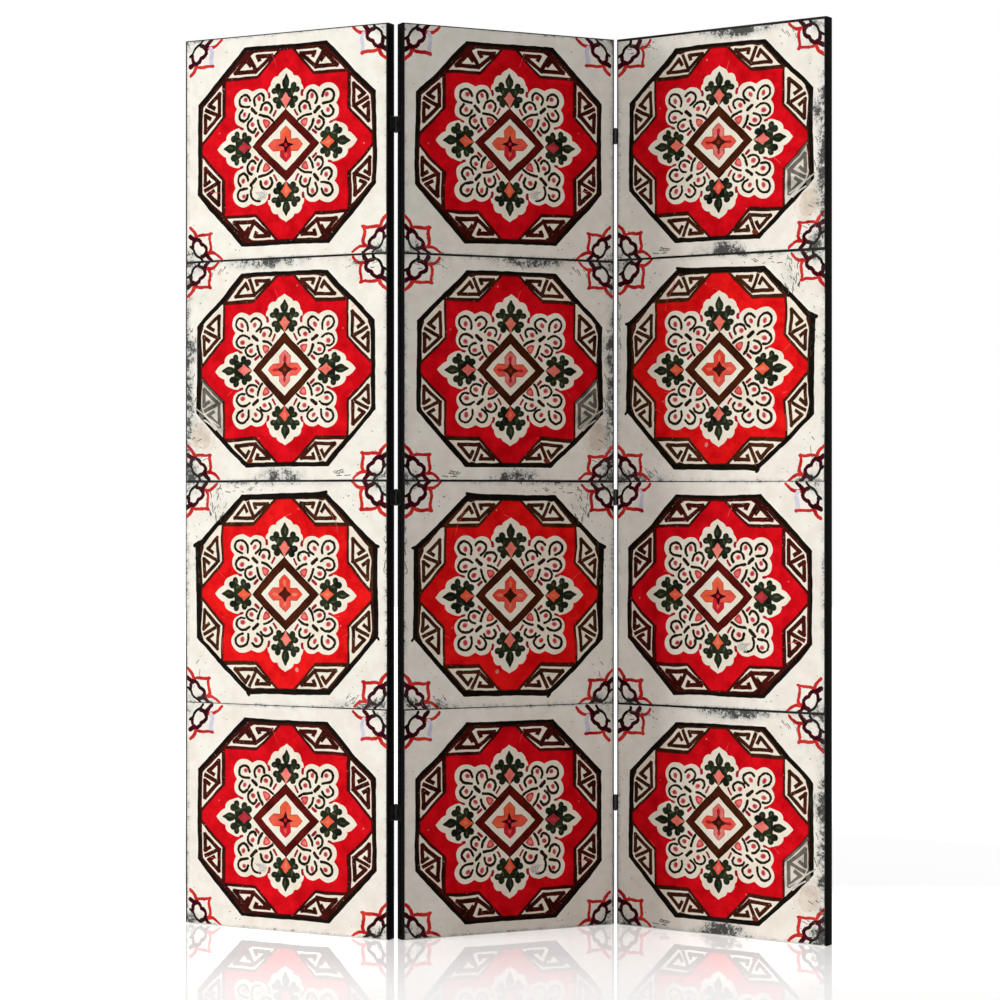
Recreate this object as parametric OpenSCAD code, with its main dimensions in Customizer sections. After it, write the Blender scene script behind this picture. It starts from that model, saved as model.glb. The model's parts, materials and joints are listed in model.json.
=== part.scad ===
// Folding room screen: three canvas panels on dowelled pine frames, joined by six black butt hinges.
// X runs along the screen, -Y faces the viewer, Z is up. The origin is on the floor,
// at the middle of the middle panel's foot.

/* [Panels] */
// Width of one panel
panel_w = 450; // [300:5:600]
// Height of one panel
panel_h = 1720; // [1400:10:2000]

/* [Stance] */
// Angle of the left panel to the screen's long direction
left_turn = 27.6; // [5:0.1:70]
// Angle of the middle panel to the screen's long direction
middle_turn = 24.9; // [5:0.1:70]
// Angle of the right panel to the screen's long direction
right_turn = 34.8; // [5:0.1:70]

/* [Cloth] */
// Thickness of the printed canvas
canvas_t = 0.6; // [0.4:0.1:1]
// Width of the canvas margin folded onto the back of the frame
margin_w = 22; // [12:1:30]
// Thickness of the black cloth on the back
cover_t = 0.6; // [0.3:0.1:1]
// Distance from the panel's edge to the back cloth
cover_inset = 5; // [2:1:10]

/* [Frame] */
// Depth of the frame from front to back
frame_d = 25; // [20:1:35]
// Width of each upright
stile_w = 38; // [34:1:60]
// Width of the top and bottom rails
rail_w = 38; // [34:1:70]
// Width of the two cross braces
brace_w = 34; // [34:1:60]
// Distance that the cross braces stand back from the canvas
brace_setback = 6; // [2:1:8]
// Chamfer on the inner edges of the frame
edge_ease = 1.5; // [0.5:0.5:3]

/* [Dowels] */
// Diameter of a dowel
dowel_d = 8; // [5:1:10]
// Length of a dowel
dowel_l = 50; // [30:2:60]
// Distance between the two dowels of a joint
dowel_pitch = 18; // [14:1:20]
// Room for glue at each end of a dowel
glue_gap = 1; // [0.5:0.5:3]
// Radial clearance of a dowel in its hole
dowel_clear = 0.05; // [0.02:0.01:0.2]
// Chamfer on a dowel's ends
dowel_chamfer = 1; // [0.5:0.1:2]

/* [Hinges] */
// Height of a hinge
hinge_h = 30; // [24:1:50]
// Length of the flat part of a hinge leaf
leaf_w = 18; // [14:1:20]
// Thickness of a hinge leaf
leaf_t = 1.2; // [0.8:0.1:1.6]
// Gap between two leaves when the panels stand in line
leaf_gap = 0.4; // [0.2:0.1:1]
// Radius of a leaf's free corners
leaf_corner = 3; // [1:0.5:5]
// Gap between the rolled edge of a knuckle and the flat of its leaf
curl_gap = 0.3; // [0.1:0.1:0.5]
// Diameter of the hinge pin
pin_d = 2.6; // [2:0.1:4]
// Radial clearance of the pin in its knuckles
pin_clear = 0.05; // [0.02:0.01:0.1]
// Height of each end knuckle
end_knuckle_h = 9; // [6:0.5:10]
// Gap between two knuckles
knuckle_gap = 0.3; // [0.2:0.1:0.6]
// Clearance of a turning knuckle from the frame and the other leaf
knuckle_clear = 0.3; // [0.2:0.1:0.6]
// Diameter of the pin's heads
pin_head_d = 4.4; // [4.3:0.1:6]
// Height of the pin's heads
pin_head_h = 0.9; // [0.6:0.1:1.5]
// Play between a pin head and its knuckle
pin_play = 0.1; // [0.05:0.05:0.3]
// Height of the lowest hinges above the floor
low_hinge_z = 237; // [150:1:350]
// Height of the middle hinges above the floor
mid_hinge_z = 830; // [700:1:950]
// Distance of the highest hinges below the top
high_hinge_drop = 188; // [100:1:190]

/* [Screws] */
// Diameter of a hinge screw
screw_d = 3; // [2:0.1:3.5]
// Length of a hinge screw
screw_l = 16; // [10:1:20]
// Diameter of a screw's countersunk head
screw_head_d = 5.4; // [4.8:0.1:6]
// Distance between the two screws of a leaf
screw_pitch = 16; // [12:1:17]
// Clearance round a screw
screw_clear = 0.05; // [0.02:0.01:0.1]
// Width of the cross slot in a screw head
slot_w = 0.7; // [0.4:0.1:1]
// Length of the cross slot
slot_l = 3; // [2:0.1:4]
// Depth of the cross slot
slot_depth = 0.8; // [0.4:0.1:1]

/* [Hidden] */
$fn = 48;
eps = 0.01;

panel_t = canvas_t + frame_d + canvas_t + cover_t;
front_y = -panel_t / 2;
back_y = panel_t / 2;
frame_front = front_y + canvas_t;
frame_back = frame_front + frame_d;
frame_w = panel_w - 2 * canvas_t;
frame_h = panel_h - 2 * canvas_t;
rail_l = frame_w - 2 * stile_w;
brace_d = frame_d - brace_setback;

// Each crosspiece: middle height, width, depth
crosspieces = [
    [canvas_t + rail_w / 2, rail_w, frame_d],
    [canvas_t + frame_h / 3, brace_w, brace_d],
    [canvas_t + frame_h * 2 / 3, brace_w, brace_d],
    [panel_h - canvas_t - rail_w / 2, rail_w, frame_d]
];
crosspiece_names = ["rail_bottom", "brace_lower", "brace_upper", "rail_top"];

bore_r = pin_d / 2 + pin_clear;
knuckle_r = bore_r + leaf_t;
turning_r = knuckle_r + knuckle_clear;
// Pin axis from the panel's edge and from its face: the turning knuckle just clears the corner
pin_out = leaf_t + leaf_gap / 2;
pin_off = sqrt(max(pow(turning_r, 2) - pow(pin_out, 2), 1));
screw_head_h = (screw_head_d - screw_d) / 2;
hinge_heights = [low_hinge_z, mid_hinge_z, panel_h - high_hinge_drop];
hinge_names = ["low", "mid", "high"];

// Hinged edges of each panel: side (-1 left, 1 right) and the face that the pin stands at (1 back)
panel_names = ["left", "middle", "right"];
hinged_edges = [[[1, 1]], [[-1, 1], [1, -1]], [[-1, -1]]];

// Puts a panel, or what is fixed to it, in its place; the wings turn on their pins
module in_place(p) {
    rotate([0, 0, middle_turn])
        if (p == "left")
            translate(pin_at(-1))
                rotate([0, 0, -(left_turn + middle_turn)])
                    translate([-(panel_w / 2 + pin_out), -(back_y + pin_off), 0]) children();
        else if (p == "right")
            translate(pin_at(1))
                rotate([0, 0, -(middle_turn + right_turn)])
                    translate([panel_w / 2 + pin_out, back_y + pin_off, 0]) children();
        else
            children();
}

// Pin axis at the middle panel's left edge (-1, behind it) or right edge (1, in front of it)
function pin_at(side) = [side * (panel_w / 2 + pin_out), -side * (back_y + pin_off), 0];

// Front of the printed canvas, stretched flat over the frame
module canvas() {
    color("antiquewhite")
        translate([-panel_w / 2, front_y, 0])
            cube([panel_w, canvas_t, panel_h]);
}

// One side of the margin on the back, with mitred ends, along a panel edge of this length
module back_margin(length) {
    rotate([90, 0, 0])
        translate([0, 0, -canvas_t])
            linear_extrude(canvas_t)
                polygon([[-length / 2, 0], [length / 2, 0],
                    [length / 2 - margin_w, margin_w], [-length / 2 + margin_w, margin_w]]);
}

// Black margin of the canvas round the two sides and the top, pierced by the hinge screws
module wrap(edges) {
    color("#1b1a19")
        difference() {
            union() {
                for (side = [-1, 1]) {
                    translate([side * frame_w / 2 - (side == 1 ? 0 : canvas_t), frame_front, canvas_t])
                        cube([canvas_t, frame_d + canvas_t, panel_h - canvas_t]);
                    translate([side * panel_w / 2, frame_back, panel_h / 2])
                        rotate([0, -side * 90, 0])
                            back_margin(panel_h);
                }
                translate([-panel_w / 2, frame_front, panel_h - canvas_t])
                    cube([panel_w, frame_d + canvas_t, canvas_t]);
                translate([0, frame_back, panel_h])
                    rotate([0, 180, 0])
                        back_margin(panel_w);
            }
            translate([-panel_w / 2 - 1, frame_front - 1, -1])
                cube([panel_w + 2, frame_d + 3, 1 + canvas_t]);
            screw_holes(edges);
        }
}

// Black margin of the canvas under the foot and up the back, which the panel stands on
module hem() {
    color("#1b1a19") {
        union() {
            translate([-panel_w / 2, frame_front, 0])
                cube([panel_w, frame_d + canvas_t, canvas_t]);
            translate([0, frame_back, 0])
                back_margin(panel_w);
        }
    }
}

// Plain black cloth over the back, lapping the folded margin
module back_cloth() {
    color("#262524")
        translate([-panel_w / 2 + cover_inset, frame_back + canvas_t, cover_inset])
            cube([panel_w - 2 * cover_inset, cover_t, panel_h - 2 * cover_inset]);
}

// Batten section with its two inner edges eased; the outer edge lies along x = 0
module stile_section() {
    polygon([[0, 0], [stile_w - edge_ease, 0], [stile_w, edge_ease],
        [stile_w, frame_d - edge_ease], [stile_w - edge_ease, frame_d], [0, frame_d]]);
}

// Upright at the left (-1) or right (1) edge, bored for the dowels and the hinge screws
module stile(side, edges) {
    color("burlywood")
        difference() {
            translate([side * frame_w / 2, frame_front, canvas_t])
                mirror([side == 1 ? 1 : 0, 0, 0])
                    linear_extrude(frame_h)
                        stile_section();
            dowel_holes(side);
            screw_holes(edges);
        }
}

// Crosspiece number i between the uprights, with all four long edges eased
module crosspiece(i) {
    z = crosspieces[i][0];
    w = crosspieces[i][1];
    d = crosspieces[i][2];
    color("tan")
        difference() {
            translate([-rail_l / 2, frame_back - d, z])
                rotate([90, 0, 90])
                    linear_extrude(rail_l)
                        polygon([[edge_ease, -w / 2], [d - edge_ease, -w / 2],
                            [d, -w / 2 + edge_ease], [d, w / 2 - edge_ease],
                            [d - edge_ease, w / 2], [edge_ease, w / 2],
                            [0, w / 2 - edge_ease], [0, -w / 2 + edge_ease]]);
            for (side = [-1, 1])
                dowel_holes(side);
        }
}

// Centres of the dowels that join the crosspieces to one upright
function dowel_places(side) = [for (c = crosspieces) for (s = [-1, 1])
    [side * rail_l / 2, frame_back - c[2] / 2, c[0] + s * dowel_pitch / 2]];

module dowel_holes(side) {
    for (at = dowel_places(side))
        translate(at)
            rotate([0, 90, 0])
                cylinder(r = dowel_d / 2 + dowel_clear, h = dowel_l + 2 * glue_gap, center = true);
}

// Beech dowel with both ends chamfered
module dowel() {
    rotate([0, 90, 0])
        rotate_extrude()
            polygon([[0, -dowel_l / 2], [dowel_d / 2 - dowel_chamfer, -dowel_l / 2],
                [dowel_d / 2, -dowel_l / 2 + dowel_chamfer], [dowel_d / 2, dowel_l / 2 - dowel_chamfer],
                [dowel_d / 2 - dowel_chamfer, dowel_l / 2], [0, dowel_l / 2]]);
}

module dowels() {
    color("wheat")
        for (side = [-1, 1], at = dowel_places(side))
            translate(at) dowel();
}

// Where the screws of a hinged edge enter the panel: [side, place on the leaf's outer face]
function screw_places(edge) = [for (z = hinge_heights) for (s = [-1, 1])
    [edge[0] * (panel_w / 2 + leaf_t), edge[1] * (panel_t / 2 - leaf_w / 2), z + s * screw_pitch / 2]];

module screw_holes(edges) {
    for (edge = edges, at = screw_places(edge))
        translate(at)
            rotate([0, -edge[0] * 90, 0])
                cylinder(r = screw_d / 2 + screw_clear, h = screw_l + glue_gap);
}

// Countersunk wood screw pointing along +z, its head's face at z = 0
module screw() {
    difference() {
        rotate_extrude()
            polygon([[0, 0], [screw_head_d / 2, 0], [screw_d / 2, screw_head_h],
                [screw_d / 2, screw_l - screw_d], [0, screw_l]]);
        for (turn = [0, 90])
            rotate([0, 0, turn])
                translate([-slot_l / 2, -slot_w / 2, -eps])
                    cube([slot_l, slot_w, slot_depth]);
    }
}

// The six screws along one hinged edge
module screws(edge) {
    color("#201f1e")
        for (at = screw_places(edge))
            translate(at)
                rotate([0, -edge[0] * 90, 0])
                    translate([0, 0, screw_clear]) screw();
}

// Heights of the knuckles from the hinge's lower end: two on the panel leaf, one on the wing leaf
middle_knuckle_h = hinge_h - 2 * (end_knuckle_h + knuckle_gap);
panel_knuckles = [[0, end_knuckle_h], [hinge_h - end_knuckle_h, end_knuckle_h]];
wing_knuckles = [[end_knuckle_h + knuckle_gap, middle_knuckle_h]];

// Flat of a leaf, from the pin towards -y, with its free corners rounded
module leaf_outline() {
    length = pin_off + leaf_w;
    difference() {
        translate([-length, 0]) square([length, hinge_h]);
        for (z = [0, 1])
            translate([-length, z * hinge_h])
                mirror([0, z, 0])
                    difference() {
                        translate([-1, -1]) square(leaf_corner + 1);
                        translate([leaf_corner, leaf_corner]) circle(r = leaf_corner);
                    }
    }
}

// Hinge leaf with its pin axis on z. The flat lies at x < 0 and reaches towards -y.
// own lists its knuckles, other those of the facing leaf, which it leaves room for.
module leaf(own, other) {
    color("#2a2928")
        difference() {
            union() {
                translate([-pin_out, 0, 0])
                    rotate([90, 0, 90])
                        linear_extrude(leaf_t) leaf_outline();
                for (k = own)
                    translate([0, 0, k[0]])
                        cylinder(r = knuckle_r, h = k[1]);
            }
            for (k = other)
                translate([-pin_out - 1, -turning_r, k[0] - knuckle_gap])
                    cube([turning_r + pin_out + 1, 2 * turning_r, k[1] + 2 * knuckle_gap]);
            translate([0, 0, -1])
                cylinder(r = bore_r, h = hinge_h + 2);
            for (k = own)
                translate([leaf_t - pin_out, -knuckle_r - 1, k[0] - eps])
                    cube([curl_gap, knuckle_r + 1, k[1] + 2 * eps]);
            for (s = [-1, 1])
                translate([-pin_out + leaf_t, -pin_off - leaf_w / 2, hinge_h / 2 + s * screw_pitch / 2])
                    rotate([0, -90, 0]) {
                        translate([0, 0, -1])
                            cylinder(r = screw_head_d / 2 + screw_clear, h = 1 + screw_clear);
                        translate([0, 0, screw_clear])
                            cylinder(r1 = screw_head_d / 2 + screw_clear,
                                r2 = screw_d / 2 + screw_clear, h = screw_head_h);
                        cylinder(r = screw_d / 2 + screw_clear, h = leaf_t + 1);
                    }
        }
}

// Hinge pin with a domed head above and a peened one below
module pin() {
    color("#3a3937")
        rotate_extrude()
            difference() {
                union() {
                    translate([0, -pin_play]) square([pin_d / 2, hinge_h + 2 * pin_play]);
                    for (up = [0, 1])
                        translate([0, up * hinge_h])
                            mirror([0, 1 - up])
                                translate([0, pin_play]) {
                                    square([pin_head_d / 2, pin_head_h / 2]);
                                    square([pin_head_d / 2 - pin_head_h / 2, pin_head_h]);
                                    translate([pin_head_d / 2 - pin_head_h / 2, pin_head_h / 2])
                                        circle(r = pin_head_h / 2);
                                }
                }
                translate([-pin_head_d, -pin_head_d])
                    square([pin_head_d, hinge_h + 2 * pin_head_d]);
            }
}

// Places a hinge part at the middle panel's left (-1) or right (1) edge, at height number i
module at_hinge(side, i) {
    rotate([0, 0, middle_turn])
        translate(pin_at(side) + [0, 0, hinge_heights[i] - hinge_h / 2])
            rotate([0, 0, side == 1 ? 180 : 0])
                children();
}

for (i = [0:2]) {
    p = panel_names[i];
    edges = hinged_edges[i];
    left_edges = [for (e = edges) if (e[0] == -1) e];
    right_edges = [for (e = edges) if (e[0] == 1) e];
    in_place(p) canvas();
    in_place(p) wrap(edges);
    in_place(p) hem();
    in_place(p) back_cloth();
    in_place(p) stile(-1, left_edges);
    in_place(p) stile(1, right_edges);
    for (c = [0:3])
        in_place(p) crosspiece(c);
    in_place(p) dowels();
}

for (side = [-1, 1], i = [0:2]) {
    name = str(side == -1 ? "left" : "right", "_", hinge_names[i]);
    turn = -middle_turn - (side == -1 ? left_turn : right_turn);
    at_hinge(side, i) mirror([1, 0, 0]) leaf(panel_knuckles, wing_knuckles);
    at_hinge(side, i) rotate([0, 0, turn]) leaf(wing_knuckles, panel_knuckles);
    at_hinge(side, i) pin();
}

in_place("middle") screws([-1, 1]);  // screws_panel_left
in_place("left") screws([1, 1]);  // screws_wing_left
in_place("middle") screws([1, -1]);  // screws_panel_right
in_place("right") screws([-1, -1]);  // screws_wing_right
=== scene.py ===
import json
import math
import random

import bpy
import numpy as np
from mathutils import Matrix, Vector, noise
from mathutils.geometry import delaunay_2d_cdt


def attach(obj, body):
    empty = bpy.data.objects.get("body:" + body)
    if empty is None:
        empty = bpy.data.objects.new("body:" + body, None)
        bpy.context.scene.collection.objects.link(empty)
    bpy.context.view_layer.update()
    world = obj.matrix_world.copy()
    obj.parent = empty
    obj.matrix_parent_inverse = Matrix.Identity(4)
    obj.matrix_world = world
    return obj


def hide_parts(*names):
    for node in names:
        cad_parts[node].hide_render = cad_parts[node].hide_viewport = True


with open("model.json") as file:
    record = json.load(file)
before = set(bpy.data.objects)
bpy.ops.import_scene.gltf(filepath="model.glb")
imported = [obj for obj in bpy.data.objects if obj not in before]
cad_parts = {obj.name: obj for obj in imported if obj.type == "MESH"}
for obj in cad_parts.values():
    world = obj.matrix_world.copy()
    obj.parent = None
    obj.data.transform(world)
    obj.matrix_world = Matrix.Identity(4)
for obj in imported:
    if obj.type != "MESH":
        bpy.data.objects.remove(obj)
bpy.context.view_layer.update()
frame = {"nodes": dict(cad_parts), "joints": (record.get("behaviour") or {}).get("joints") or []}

# metres and degrees; the same sizes as the solids
screen = {
    "panelWidth": 0.45,
    "panelHeight": 1.72,
    "panelDepth": 0.0268,
    "canvasThickness": 0.0006,
    "marginWidth": 0.022,
    "turns": {"left": -27.6, "middle": 24.9, "right": -34.8},
    "pinOut": 0.0014,      # pin axis beyond the panel's edge
    "pinOff": 0.00248244,  # and beyond its face
    "tileRows": 4,
}

panelNames = ["left", "middle", "right"]


def deselectAll():
    bpy.ops.object.select_all(action="DESELECT")


# where a panel's own coordinates lie: x across it, y through it, z up from its foot
def panelPlace(name):
    turn = Matrix.Rotation(math.radians(screen["turns"][name]), 4, "Z")
    if name == "middle":
        return turn
    side = 1 if name == "left" else -1
    pin = next(j for j in frame["joints"] if j["name"] == "fold_" + name)["pos_m"]
    reach = Vector((side * (screen["panelWidth"] / 2 + screen["pinOut"]),
                    side * (screen["panelDepth"] / 2 + screen["pinOff"]), 0))
    return Matrix.Translation((pin[0], pin[1], 0)) @ turn @ Matrix.Translation(-reach)


# sRGB hex to linear colour
def hexColour(text):
    values = [int(text[i:i + 2], 16) / 255 for i in (0, 2, 4)]
    return [v / 12.92 if v <= 0.04045 else ((v + 0.055) / 1.055) ** 2.4 for v in values] + [1.0]


# adds a node with its links and settings; in_ and a name or number sets one of its inputs
def addNode(tree, kind, links=None, **settings):
    node = tree.nodes.new(kind)
    for key, value in settings.items():
        if key.startswith("in_"):
            socket = key[3:].replace("_", " ")
            node.inputs[int(socket) if socket.isdigit() else socket].default_value = value
        else:
            setattr(node, key, value)
    for key, source in (links or {}).items():
        tree.links.new(source, node.inputs[key])
    return node


# the settings for one end of a Map Range node
def span(end, values):
    return {"in_" + end + "_Min": values[0], "in_" + end + "_Max": values[1]}


def emptyMaterial(name):
    material = bpy.data.materials.new(name)
    material.use_nodes = True
    material.node_tree.nodes.clear()
    return material, material.node_tree


def newMaterial(name, **settings):
    material, tree = emptyMaterial(name)
    surface = addNode(tree, "ShaderNodeBsdfPrincipled", **settings)
    addNode(tree, "ShaderNodeOutputMaterial", {"Surface": surface.outputs["BSDF"]})
    return material, tree, surface


# the scale at which a wave texture repeats once in this many metres
def waveScale(period):
    return 2 * math.pi / 20 / period


# Printed canvas: ink-jet print on a cotton-polyester canvas with a thin satin varnish.
# The eye sees flat inks that vary a little, aged-glaze grime in the print, and a fine weave.
canvasLook = {
    "threadPitch": 0.0011,     # drawn about twice as coarse as real canvas so that it shows
    "threadDepth": 0.00008,
    "threadWobble": 1.2,
    "weaveStrength": 0.35,
    "mottleSize": 0.03,
    "mottleSpan": (0.36, 0.62),  # from an ink's darker tone to its lighter one
    "flakeSize": 0.0035,
    "flakeFrom": (0.9, 0.7),     # level of an unworn ink, and how far a worn one is below it
    "flakeSpan": (0.0, 0.06),
    "flakeShare": (0.0, 0.75),
    "cloudSize": 0.02,         # patches of grey film
    "cloudSpan": (0.4, 0.62),
    "cloudGain": (0.4, 1.2),
    "filmOnInk": (3, 0.1),     # it shows on pale inks, and this little on the red and the dark ones
    "filmSpan": (0.1, 0.75),
    "filmShare": (0.0, 0.7),
    "gritSize": 0.0042,        # and the dark grit in them
    "gritWeight": 0.42,
    "gritSpan": (0.725, 0.83),
    "gritShare": (0.0, 0.88),
    "grimeDark": "2a2a29",
    "grimePale": "a4a8a6",
    "wearColour": "d9cdb8",
}


def printedCanvasMaterial():
    material, tree, surface = newMaterial("printedCanvas", in_Roughness=0.8,
                                          in_Specular_IOR_Level=0.04)
    place = addNode(tree, "ShaderNodeTexCoord")
    weaveMap = addNode(tree, "ShaderNodeUVMap", uv_map="clothUV")
    dark = addNode(tree, "ShaderNodeAttribute", attribute_name="inkDark")
    light = addNode(tree, "ShaderNodeAttribute", attribute_name="inkLight")
    state = addNode(tree, "ShaderNodeAttribute", attribute_name="age")
    parts = addNode(tree, "ShaderNodeSeparateXYZ", {"Vector": state.outputs["Vector"]})
    mottle = addNode(tree, "ShaderNodeTexNoise", {"Vector": place.outputs["Object"]},
                     in_Scale=1 / canvasLook["mottleSize"], in_Detail=5.0, in_Roughness=0.62)
    spread = addNode(tree, "ShaderNodeMapRange", {"Value": mottle.outputs["Fac"]},
                     **span("From", canvasLook["mottleSpan"]))
    ink = addNode(tree, "ShaderNodeMix",
                  {"Factor": spread.outputs["Result"], 6: dark.outputs["Color"],
                   7: light.outputs["Color"]}, data_type="RGBA")
    # worn flecks in the drawn lines
    flakes = addNode(tree, "ShaderNodeTexNoise", {"Vector": place.outputs["Object"]},
                     in_Scale=1 / canvasLook["flakeSize"], in_Detail=3.0, in_Roughness=0.7)
    worn = addNode(tree, "ShaderNodeMath", {0: flakes.outputs["Fac"], 1: parts.outputs["Y"]},
                   operation="SUBTRACT")
    fleck = addNode(tree, "ShaderNodeMapRange", {"Value": worn.outputs[0]},
                    **span("From", canvasLook["flakeSpan"]), **span("To", canvasLook["flakeShare"]))
    wornInk = addNode(tree, "ShaderNodeMix", {"Factor": fleck.outputs["Result"], 6: ink.outputs[2]},
                      data_type="RGBA", in_7=hexColour(canvasLook["wearColour"]))
    # grime printed along the tiles' edges: patches of grey film, and fine dark grit in them
    cloud = addNode(tree, "ShaderNodeTexNoise", {"Vector": place.outputs["Object"]},
                    in_Scale=1 / canvasLook["cloudSize"], in_Detail=6.0, in_Roughness=0.68)
    clumps = addNode(tree, "ShaderNodeMapRange", {"Value": cloud.outputs["Fac"]},
                     **span("From", canvasLook["cloudSpan"]), **span("To", canvasLook["cloudGain"]))
    patchy = addNode(tree, "ShaderNodeMath",
                     {0: clumps.outputs["Result"], 1: parts.outputs["X"]}, operation="MULTIPLY")
    film = addNode(tree, "ShaderNodeMapRange", {"Value": patchy.outputs[0]},
                   **span("From", canvasLook["filmSpan"]), **span("To", canvasLook["filmShare"]))
    filmHere = addNode(tree, "ShaderNodeMath",
                       {0: film.outputs["Result"], 1: parts.outputs["Z"]}, operation="MULTIPLY")
    filmed = addNode(tree, "ShaderNodeMix", {"Factor": filmHere.outputs[0], 6: wornInk.outputs[2]},
                     data_type="RGBA", in_7=hexColour(canvasLook["grimePale"]))
    grit = addNode(tree, "ShaderNodeTexNoise", {"Vector": place.outputs["Object"]},
                   in_Scale=1 / canvasLook["gritSize"], in_Detail=3.0, in_Roughness=0.8)
    gritty = addNode(tree, "ShaderNodeMath", {0: patchy.outputs[0], 2: grit.outputs["Fac"]},
                     operation="MULTIPLY_ADD", in_1=canvasLook["gritWeight"])
    specks = addNode(tree, "ShaderNodeMapRange", {"Value": gritty.outputs[0]},
                     **span("From", canvasLook["gritSpan"]), **span("To", canvasLook["gritShare"]))
    dirty = addNode(tree, "ShaderNodeMix",
                    {"Factor": specks.outputs["Result"], 6: filmed.outputs[2]},
                    data_type="RGBA", in_7=hexColour(canvasLook["grimeDark"]))
    tree.links.new(dirty.outputs[2], surface.inputs["Base Color"])
    # plain weave: two crossed sets of threads
    threads = []
    for direction in ("X", "Y"):
        threads.append(addNode(tree, "ShaderNodeTexWave", {"Vector": weaveMap.outputs["UV"]},
                               wave_type="BANDS", bands_direction=direction, wave_profile="SIN",
                               in_Scale=waveScale(2 * canvasLook["threadPitch"]),
                               in_Distortion=canvasLook["threadWobble"], in_Detail=2.0,
                               in_Detail_Scale=0.02))
    weave = addNode(tree, "ShaderNodeMath",
                    {0: threads[0].outputs["Fac"], 1: threads[1].outputs["Fac"]},
                    operation="MULTIPLY")
    bump = addNode(tree, "ShaderNodeBump", {"Height": weave.outputs[0]},
                   in_Strength=canvasLook["weaveStrength"], in_Distance=canvasLook["threadDepth"])
    tree.links.new(bump.outputs["Normal"], surface.inputs["Normal"])
    return material


# Black nonwoven backing, needle-punched polypropylene: a dull felt with short random fibres
feltLook = {
    "fibreSize": 0.0011,   # a bundle of fibres; single ones are too fine to show
    "fibreDepth": 0.0003,
    "patchSize": 0.028,
    "dark": "1d1c1b",
    "pale": "312f2d",
}


def backClothMaterial():
    material, tree, surface = newMaterial("blackNonwovenCloth", in_Roughness=0.88,
                                          in_Specular_IOR_Level=0.2, in_Sheen_Weight=0.25,
                                          in_Sheen_Roughness=0.5)
    place = addNode(tree, "ShaderNodeTexCoord")
    fibres = addNode(tree, "ShaderNodeTexNoise", {"Vector": place.outputs["Object"]},
                     in_Scale=1 / feltLook["fibreSize"], in_Detail=4.0, in_Roughness=0.7,
                     in_Distortion=1.5)
    patches = addNode(tree, "ShaderNodeTexNoise", {"Vector": place.outputs["Object"]},
                      in_Scale=1 / feltLook["patchSize"], in_Detail=3.0)
    tone = addNode(tree, "ShaderNodeMix", {"Factor": patches.outputs["Fac"]}, data_type="RGBA",
                   in_6=hexColour(feltLook["dark"]), in_7=hexColour(feltLook["pale"]))
    tree.links.new(tone.outputs[2], surface.inputs["Base Color"])
    bump = addNode(tree, "ShaderNodeBump", {"Height": fibres.outputs["Fac"]}, in_Strength=0.5,
                   in_Distance=feltLook["fibreDepth"])
    tree.links.new(bump.outputs["Normal"], surface.inputs["Normal"])
    return material


# Steel with black stoving lacquer, sprayed: a low satin sheen and a faint orange peel
lacquerLook = {
    "rubSize": 0.0042,     # where fingers and packing have rubbed it
    "peelSize": 0.0007,
    "peelDepth": 0.0001,
    "smoother": 0.08,      # how far the roughness goes down where it is rubbed least
    "rougher": 0.1,        # and up where it is rubbed most
}


def lacqueredSteelMaterial(name, dark, pale, roughness):
    material, tree, surface = newMaterial(name, in_Specular_IOR_Level=0.5)
    place = addNode(tree, "ShaderNodeTexCoord")
    rub = addNode(tree, "ShaderNodeTexNoise", {"Vector": place.outputs["Object"]},
                  in_Scale=1 / lacquerLook["rubSize"], in_Detail=4.0)
    tone = addNode(tree, "ShaderNodeMix", {"Factor": rub.outputs["Fac"]}, data_type="RGBA",
                   in_6=hexColour(dark), in_7=hexColour(pale))
    tree.links.new(tone.outputs[2], surface.inputs["Base Color"])
    gloss = addNode(tree, "ShaderNodeMapRange", {"Value": rub.outputs["Fac"]},
                    **span("To", (roughness - lacquerLook["smoother"],
                                  roughness + lacquerLook["rougher"])))
    tree.links.new(gloss.outputs["Result"], surface.inputs["Roughness"])
    peel = addNode(tree, "ShaderNodeTexNoise", {"Vector": place.outputs["Object"]},
                   in_Scale=1 / lacquerLook["peelSize"], in_Detail=1.0)
    bump = addNode(tree, "ShaderNodeBump", {"Height": peel.outputs["Fac"]}, in_Strength=0.15,
                   in_Distance=lacquerLook["peelDepth"])
    tree.links.new(bump.outputs["Normal"], surface.inputs["Normal"])
    return material


# Galvanised steel staple wire, drawn: bright grey zinc with fine lengthwise marks
wireLook = {
    "markSize": 0.00055,
    "markDepth": 0.0001,
    "dark": "9b9da0",
    "pale": "c9cbcd",
    "roughness": (0.28, 0.46),
}


def stapleSteelMaterial():
    material, tree, surface = newMaterial("galvanisedStapleWire", in_Metallic=1.0)
    place = addNode(tree, "ShaderNodeTexCoord")
    marks = addNode(tree, "ShaderNodeTexNoise", {"Vector": place.outputs["Object"]},
                    in_Scale=1 / wireLook["markSize"], in_Detail=2.0)
    tone = addNode(tree, "ShaderNodeMix", {"Factor": marks.outputs["Fac"]}, data_type="RGBA",
                   in_6=hexColour(wireLook["dark"]), in_7=hexColour(wireLook["pale"]))
    tree.links.new(tone.outputs[2], surface.inputs["Base Color"])
    gloss = addNode(tree, "ShaderNodeMapRange", {"Value": marks.outputs["Fac"]},
                    **span("To", wireLook["roughness"]))
    tree.links.new(gloss.outputs["Result"], surface.inputs["Roughness"])
    bump = addNode(tree, "ShaderNodeBump", {"Height": marks.outputs["Fac"]}, in_Strength=0.2,
                   in_Distance=wireLook["markDepth"])
    tree.links.new(bump.outputs["Normal"], surface.inputs["Normal"])
    return material


# Planed wood, unfinished: growth rings stretched along the grain, darker late wood, short pores
woodLook = {
    "stretch": 0.06,       # how much longer the figure is along the grain
    "poreSize": 0.0014,
    "poreDepth": 0.0002,
}


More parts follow.
